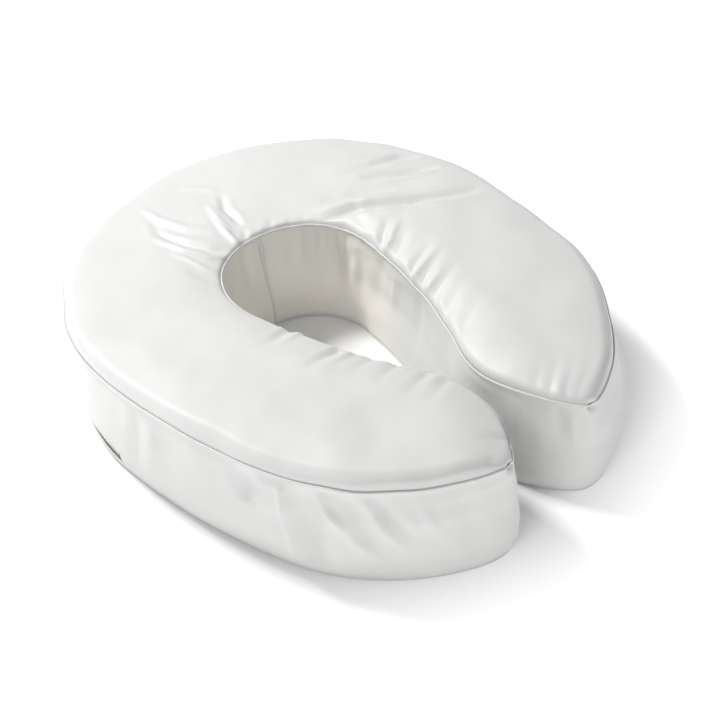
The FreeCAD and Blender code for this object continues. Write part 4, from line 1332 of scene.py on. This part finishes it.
@dataclass
class Zip:
    """The low zip round the rear: tapes, coils, stitching, slider, puller and stops."""
    outline: Keyhole
    finishes: Finishes
    pitch: float = 1.8 * MM
    wire: float = 0.62 * MM
    bite: float = 0.9 * MM
    stitch: float = 3.2 * MM
    reach: float = math.radians(86.5)
    tape_reach: float = math.radians(89.8)
    tape_inset: float = 1.35 * MM
    tape_thickness: float = 0.5 * MM

    def place(self, angle: float, out: float, height: float) -> Vector:
        """A place by angle from the rear, distance outwards and height, in metres."""
        centre, radius = self.outline.rear, self.outline.width / 2
        return Vector((centre.x + (radius + out) * math.sin(angle),
                       centre.y + (radius + out) * math.cos(angle), height))

    def build_tape(self, half: str) -> bpy.types.Object:
        """Builds one woven tape from its packed size."""
        low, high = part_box(f"zip_tape_{half}")
        centre, radius = self.outline.rear, self.outline.width / 2
        columns, rows = 220, 6
        places = np.zeros((columns + 1, rows + 1, 3))
        uv = np.zeros((columns + 1, rows + 1, 2))
        for k in range(columns + 1):
            angle = mix(-self.tape_reach, self.tape_reach, k / columns)
            for row in range(rows + 1):
                height = mix(low.z, high.z, row / rows)
                places[k, row] = tuple(self.place(angle, -self.tape_inset, height))
                uv[k, row] = (angle * radius, height)
        bm = grid_mesh(places, False, False, uv)
        face_out(bm, Vector((centre.x, centre.y, 10 * MM)))
        tape = new_piece(f"woven_tape_{half}", bm)
        add_wall(tape, self.tape_thickness)
        return fit_out(tape, self.finishes.tape, ROOT, "zip_tape", f"zip_tape_{half}")

    def coil_line(self, root: float, head: float, shift: float) -> bpy.types.Curve:
        """Winds the wire of one coil.

        Args:
            root: Height of its sewn side, in metres.
            head: Height of its heads, in metres.
            shift: The share of a turn that it starts ahead.

        Returns:
            The round wire as a curve.
        """
        line = bpy.data.curves.new("coil_line", "CURVE")
        line.dimensions = "3D"
        spline = line.splines.new("NURBS")
        radius, steps = self.outline.width / 2, 6
        turns = int(2 * self.reach * radius / self.pitch)
        spline.points.add(turns * steps - 1)
        for i in range(turns * steps):
            turn = i / steps + shift
            angle = -self.reach + turn * self.pitch / radius
            phase = 2 * math.pi * (i % steps) / steps
            height = mix(root, head, 0.5 - 0.5 * math.cos(phase))
            out = (-1.0 - 0.6 * math.sin(phase)) * MM
            spline.points[i].co = (*self.place(angle, out, height), 1)
        spline.use_endpoint_u = True
        spline.order_u = 3
        line.resolution_u = 2
        line.bevel_depth = self.wire / 2
        line.bevel_resolution = 1
        line.use_fill_caps = True
        return line

    def build_coil(self, half: str) -> bpy.types.Object:
        """Winds one nylon coil and seats its heads between those of the other."""
        low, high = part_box(f"zip_coil_{half}")
        if half == "upper":
            line = self.coil_line(high.z, low.z - self.bite, 0.5)
        else:
            line = self.coil_line(low.z, high.z + self.bite, 0.0)
        wound = bpy.data.objects.new("coil_line", line)
        bpy.context.scene.collection.objects.link(wound)
        mesh = bpy.data.meshes.new_from_object(wound.evaluated_get(
            bpy.context.evaluated_depsgraph_get()))
        bm = bmesh.new()
        bm.from_mesh(mesh)
        bmesh.ops.remove_doubles(bm, verts=bm.verts, dist=1e-7)
        bmesh.ops.recalc_face_normals(bm, faces=bm.faces)
        bpy.data.objects.remove(wound)
        coil = new_piece(f"nylon_coil_{half}", bm)
        return fit_out(coil, self.finishes.coil, ROOT, "zip_coil", f"zip_coil_{half}")

    def build_stitching(self, half: str, out: float) -> bpy.types.Object:
        """Sews one row of lock stitches, each a short plump thread dipping at its ends."""
        low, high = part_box(f"zip_stitching_{half}")
        height = (low.z + high.z) / 2
        radius = self.outline.width / 2
        count = int(2 * self.reach * radius / self.stitch)
        bm = bmesh.new()
        for i in range(count):
            angle = mix(-self.reach, self.reach, (i + 0.5) / count)
            spot = self.place(angle, out, height)
            turn = Matrix.Rotation(-angle, 4, "Z")
            size = Matrix.Diagonal((self.stitch * 0.46, 0.33 * MM, 0.34 * MM, 1))
            bmesh.ops.create_uvsphere(bm, u_segments=8, v_segments=6, radius=1.0,
                                      matrix=Matrix.Translation(spot) @ turn @ size)
        piece = new_piece(f"lock_stitches_{half}", bm)
        return fit_out(piece, self.finishes.thread, ROOT, "thread", f"zip_stitching_{half}")

    def dress(self, node: str) -> None:
        """Gives a packed metal part its lacquer and soft edges."""
        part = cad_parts[node]
        part.data.materials.clear()
        part.data.materials.append(self.finishes.zinc)
        edge = part.modifiers.new("soft_edges", "BEVEL")
        edge.width = 0.2 * MM
        edge.segments = 2
        edge.limit_method = "ANGLE"
        log.info("%s: packed shape kept, lacquered", node)

    def build(self) -> None:
        """Builds every piece of the zip."""
        self.build_tape("upper")
        self.build_tape("lower")
        self.build_coil("upper")
        self.build_coil("lower")
        self.build_stitching("upper", 2.15 * MM)
        self.build_stitching("lower", 0.7 * MM)
        for node in ("zip_slider", "zip_puller", "zip_bottom_stop", "zip_top_stops"):
            self.dress(node)


# ------------------------------------------------------------------ straps

@dataclass
class Strap:
    """One webbing strap under an arm, with its pad and its row of stitches."""
    side: str
    place: str
    finishes: Finishes

    def build_webbing(self) -> bpy.types.Object:
        """Weaves the strap: ribbed faces, firm edges and a heat-cut free end."""
        node = f"strap_{self.side}_{self.place}"
        low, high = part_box(node)
        columns, rows = 84, 22
        length, width, thick = high.x - low.x, high.y - low.y, high.z - low.z
        faces = np.zeros((columns + 1, rows + 1, 3))
        uv = np.zeros((columns + 1, rows + 1, 2))
        for i in range(columns + 1):
            for j in range(rows + 1):
                x, y = mix(low.x, high.x, i / columns), mix(low.y, high.y, j / rows)
                firm = 0.5 * bump(min(j, rows - j), 2.5)
                rib = 0.10 * math.cos(math.pi * i) * (1 - firm)
                faces[i, j] = (x, y, high.z - (0.15 - rib - 0.12 * firm) * MM)
                uv[i, j] = (i / columns * length, j / rows * width)
        bm = grid_mesh(faces, False, False, uv)
        face_out(bm, Vector((0, 0, -1)))
        strap = new_piece(f"webbing_{self.side}_{self.place}", bm)
        add_wall(strap, thick - 0.3 * MM)
        return fit_out(strap, self.finishes.webbing, node, "strap_webbing", node)

    @staticmethod
    def plant_hooks(bm: bmesh.types.BMesh, low: Vector, high: Vector, ground: float) -> None:
        """Plants rows of hooks, each a tapered stem with a small cap leaning off it.

        Args:
            bm: The pad's mesh, which gets the hooks.
            low: The pad's lowest corner.
            high: Its highest corner.
            ground: Thickness of the tape that the hooks stand on.
        """
        across, along = 12, 30
        tall = high.z - low.z - ground
        for i in range(along):
            for j in range(across):
                x = mix(low.x + 1.5 * MM, high.x - 1.5 * MM, (i + 0.5 * (j % 2)) / along)
                y = mix(low.y + 1.2 * MM, high.y - 1.2 * MM, (j + 0.5) / across)
                stem = Vector((x, y, low.z + ground + tall * 0.42))
                bmesh.ops.create_cone(bm, cap_ends=True, segments=5, radius1=0.2 * MM,
                                      radius2=0.13 * MM, depth=tall * 0.9,
                                      matrix=Matrix.Translation(stem))
                cap = Vector((x + 0.12 * MM, y, high.z - 0.14 * MM))
                bmesh.ops.create_cone(bm, cap_ends=True, segments=6, radius1=0.3 * MM,
                                      radius2=0.12 * MM, depth=0.24 * MM,
                                      matrix=Matrix.Translation(cap))

    @staticmethod
    def ruffle_loops(bm: bmesh.types.BMesh, low: Vector) -> None:
        """Makes the lower face of the loop pad fuzzy.

        Args:
            bm: The pad's mesh.
            low: The pad's lowest corner.
        """
        long_edges = [edge for edge in bm.edges if edge.calc_length() > 10 * MM]
        bmesh.ops.subdivide_edges(bm, edges=long_edges, cuts=40, use_grid_fill=True)
        for vertex in bm.verts:
            if vertex.co.z < low.z + 0.4 * MM:
                vertex.co.z += 0.16 * MM * noise.noise(vertex.co / (1.1 * MM))

    def build_pad(self) -> bpy.types.Object:
        """Builds the hook or loop pad with its nap."""
        hooks = self.place == "inner"
        node = f"hook_pad_{self.side}" if hooks else f"loop_pad_{self.side}"
        low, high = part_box(node)
        bm = bmesh.new()
        middle, size = (low + high) / 2, high - low
        ground = size.z * (0.35 if hooks else 0.8)
        up = 1 if hooks else -1
        seat = low.z if hooks else high.z
        spot = Vector((middle.x, middle.y, seat + up * ground / 2))
        bmesh.ops.create_cube(bm, size=1, matrix=Matrix.Translation(spot)
                              @ Matrix.Diagonal((size.x, size.y, ground, 1)))
        bmesh.ops.bevel(bm, geom=list(bm.edges), offset=0.12 * MM, segments=2, profile=0.5,
                        affect="EDGES", material=-1)
        if hooks:
            self.plant_hooks(bm, low, high, ground)
        else:
            self.ruffle_loops(bm, low)
        pad = new_piece(f"{'hook' if hooks else 'loop'}_tape_{self.side}", bm, smooth=not hooks)
        finish = self.finishes.hook if hooks else self.finishes.loops
        body = f"strap_{self.side}_{self.place}"
        return fit_out(pad, finish, body, "hook_tape" if hooks else "loop_tape", node)

    def build_tack(self) -> bpy.types.Object:
        """Sews the strap down with a dense row of satin stitches."""
        node = f"strap_{self.side}_{self.place}_tack"
        low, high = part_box(node)
        middle, size = (low + high) / 2, high - low
        bm = bmesh.new()
        count = 32
        for i in range(count):
            y = mix(low.y, high.y, (i + 0.5) / count)
            lean = Matrix.Rotation(math.radians(10 if i % 2 else -10), 4, "Z")
            reach = Matrix.Diagonal((size.x * 0.5, 0.4 * MM, size.z * 0.5, 1))
            spot = Matrix.Translation((middle.x, y, middle.z))
            bmesh.ops.create_uvsphere(bm, u_segments=8, v_segments=6, radius=1,
                                      matrix=spot @ lean @ reach)
        tack = new_piece(f"bar_tack_{self.side}_{self.place}", bm)
        return fit_out(tack, self.finishes.thread, ROOT, "thread", node)

    def build(self) -> None:
        """Builds the strap's pieces."""
        self.build_webbing()
        self.build_pad()
        self.build_tack()


# ------------------------------------------------------------------ studio

@dataclass
class Studio:
    """A pale floor, soft lights and the camera.

    The floor glows from glow_start outwards, so that it turns pure white away from the seat and
    keeps the seat's soft shadow near it.
    """
    target: Vector = field(default_factory=lambda: Vector((-8.26, -33.62, 45.0)) * MM)
    azimuth: float = math.radians(-38.83)
    elevation: float = math.radians(40.76)
    roll: float = math.radians(-5.53)
    distance: float = 1086.5 * MM
    lens: float = 73.7
    sensor: float = 36.0
    floor_reach: float = 6.0
    glow_start: float = 0.175
    glow_full: float = 0.28
    glow: float = 0.6
    sky: float = 0.275

    def build_floor(self) -> None:
        """Lays a wide matt white floor that glows away from the seat."""
        bm = bmesh.new()
        bmesh.ops.create_grid(bm, x_segments=1, y_segments=1, size=self.floor_reach)
        floor = new_piece("studio_floor", bm, smooth=False)
        finish = bpy.data.materials.new("matt_white_paper")
        finish.use_nodes = True
        tree = finish.node_tree
        tree.nodes.clear()
        place = add_node(tree, "ShaderNodeTexCoord").outputs["Object"]
        far = add_node(tree, "ShaderNodeVectorMath", {"operation": "LENGTH"}, i0=place)
        glow = add_node(tree, "ShaderNodeMapRange", {"interpolation_type": "SMOOTHSTEP"},
                        Value=far.outputs["Value"], From_Min=self.glow_start,
                        From_Max=self.glow_full, To_Min=0.0, To_Max=self.glow)
        paper = add_node(tree, "ShaderNodeBsdfPrincipled", Base_Color=(0.92, 0.92, 0.92, 1.0),
                         Roughness=1.0, Specular_IOR_Level=0.0,
                         Emission_Color=(1.0, 1.0, 1.0, 1.0),
                         Emission_Strength=glow.outputs["Result"])
        add_node(tree, "ShaderNodeOutputMaterial", Surface=paper.outputs["BSDF"])
        floor.data.materials.append(finish)

    def build_light(self, name: str, direction: tuple[float, float, float], far: float,
                    size: float, power: float) -> None:
        """Hangs one square soft light that looks at the seat.

        Args:
            name: The light's name.
            direction: The way from the seat to the light.
            far: How far away it hangs, in metres.
            size: Its width, in metres.
            power: Its power, in watts.
        """
        lamp = bpy.data.lights.new(name, "AREA")
        lamp.shape, lamp.size, lamp.energy = "SQUARE", size, power
        holder = bpy.data.objects.new(name, lamp)
        toward = Vector(direction).normalized()
        holder.location = self.target + toward * far
        holder.rotation_euler = toward.to_track_quat("Z", "Y").to_euler()
        bpy.context.scene.collection.objects.link(holder)

    def build_lights(self) -> None:
        """Sets a small key high behind the seat, two broad fills and an even pale sky."""
        self.build_light("key", (-0.20, 0.82, 1.02), 1.7, 0.36, 25)
        self.build_light("front", (0.35, -1.0, 0.55), 2.2, 1.4, 3.8)
        self.build_light("fill", (-0.90, -0.40, 0.72), 2.0, 0.7, 8.0)
        world = bpy.data.worlds.new("pale_room")
        world.use_nodes = True
        sky = world.node_tree.nodes["Background"]
        sky.inputs["Color"].default_value = (1, 1, 1, 1)
        sky.inputs["Strength"].default_value = self.sky
        bpy.context.scene.world = world

    def build_camera(self) -> None:
        """Sets the camera at its angle, distance and tilt."""
        a, e = self.azimuth, self.elevation
        right = Vector((math.cos(a), math.sin(a), 0))
        up = Vector((-math.sin(a) * math.sin(e), math.cos(a) * math.sin(e), math.cos(e)))
        back = Vector((math.sin(a) * math.cos(e), -math.cos(a) * math.cos(e), math.sin(e)))
        level = right * math.cos(self.roll) + up * math.sin(self.roll)
        upright = up * math.cos(self.roll) - right * math.sin(self.roll)
        lens = bpy.data.cameras.new("camera")
        lens.lens, lens.sensor_width = self.lens, self.sensor
        lens.clip_start, lens.clip_end = 0.05, 50
        camera = bpy.data.objects.new("camera", lens)
        turn = Matrix((level, upright, back)).transposed().to_4x4()
        camera.matrix_world = Matrix.Translation(self.target + back * self.distance) @ turn
        bpy.context.scene.collection.objects.link(camera)
        bpy.context.scene.camera = camera

    def build(self) -> None:
        """Builds the floor, lights and camera."""
        bpy.context.scene.view_settings.view_transform = "Standard"
        self.build_floor()
        self.build_lights()
        self.build_camera()


def main() -> None:
    """Builds the whole seat and its studio."""
    finishes, outline = Finishes(), Keyhole()
    Cover(outline, finishes).build()
    Zip(outline, finishes).build()
    for side in ("right", "left"):
        for place in ("outer", "inner"):
            Strap(side, place, finishes).build()
    Studio().build()


if __name__ == "__main__":
    main()
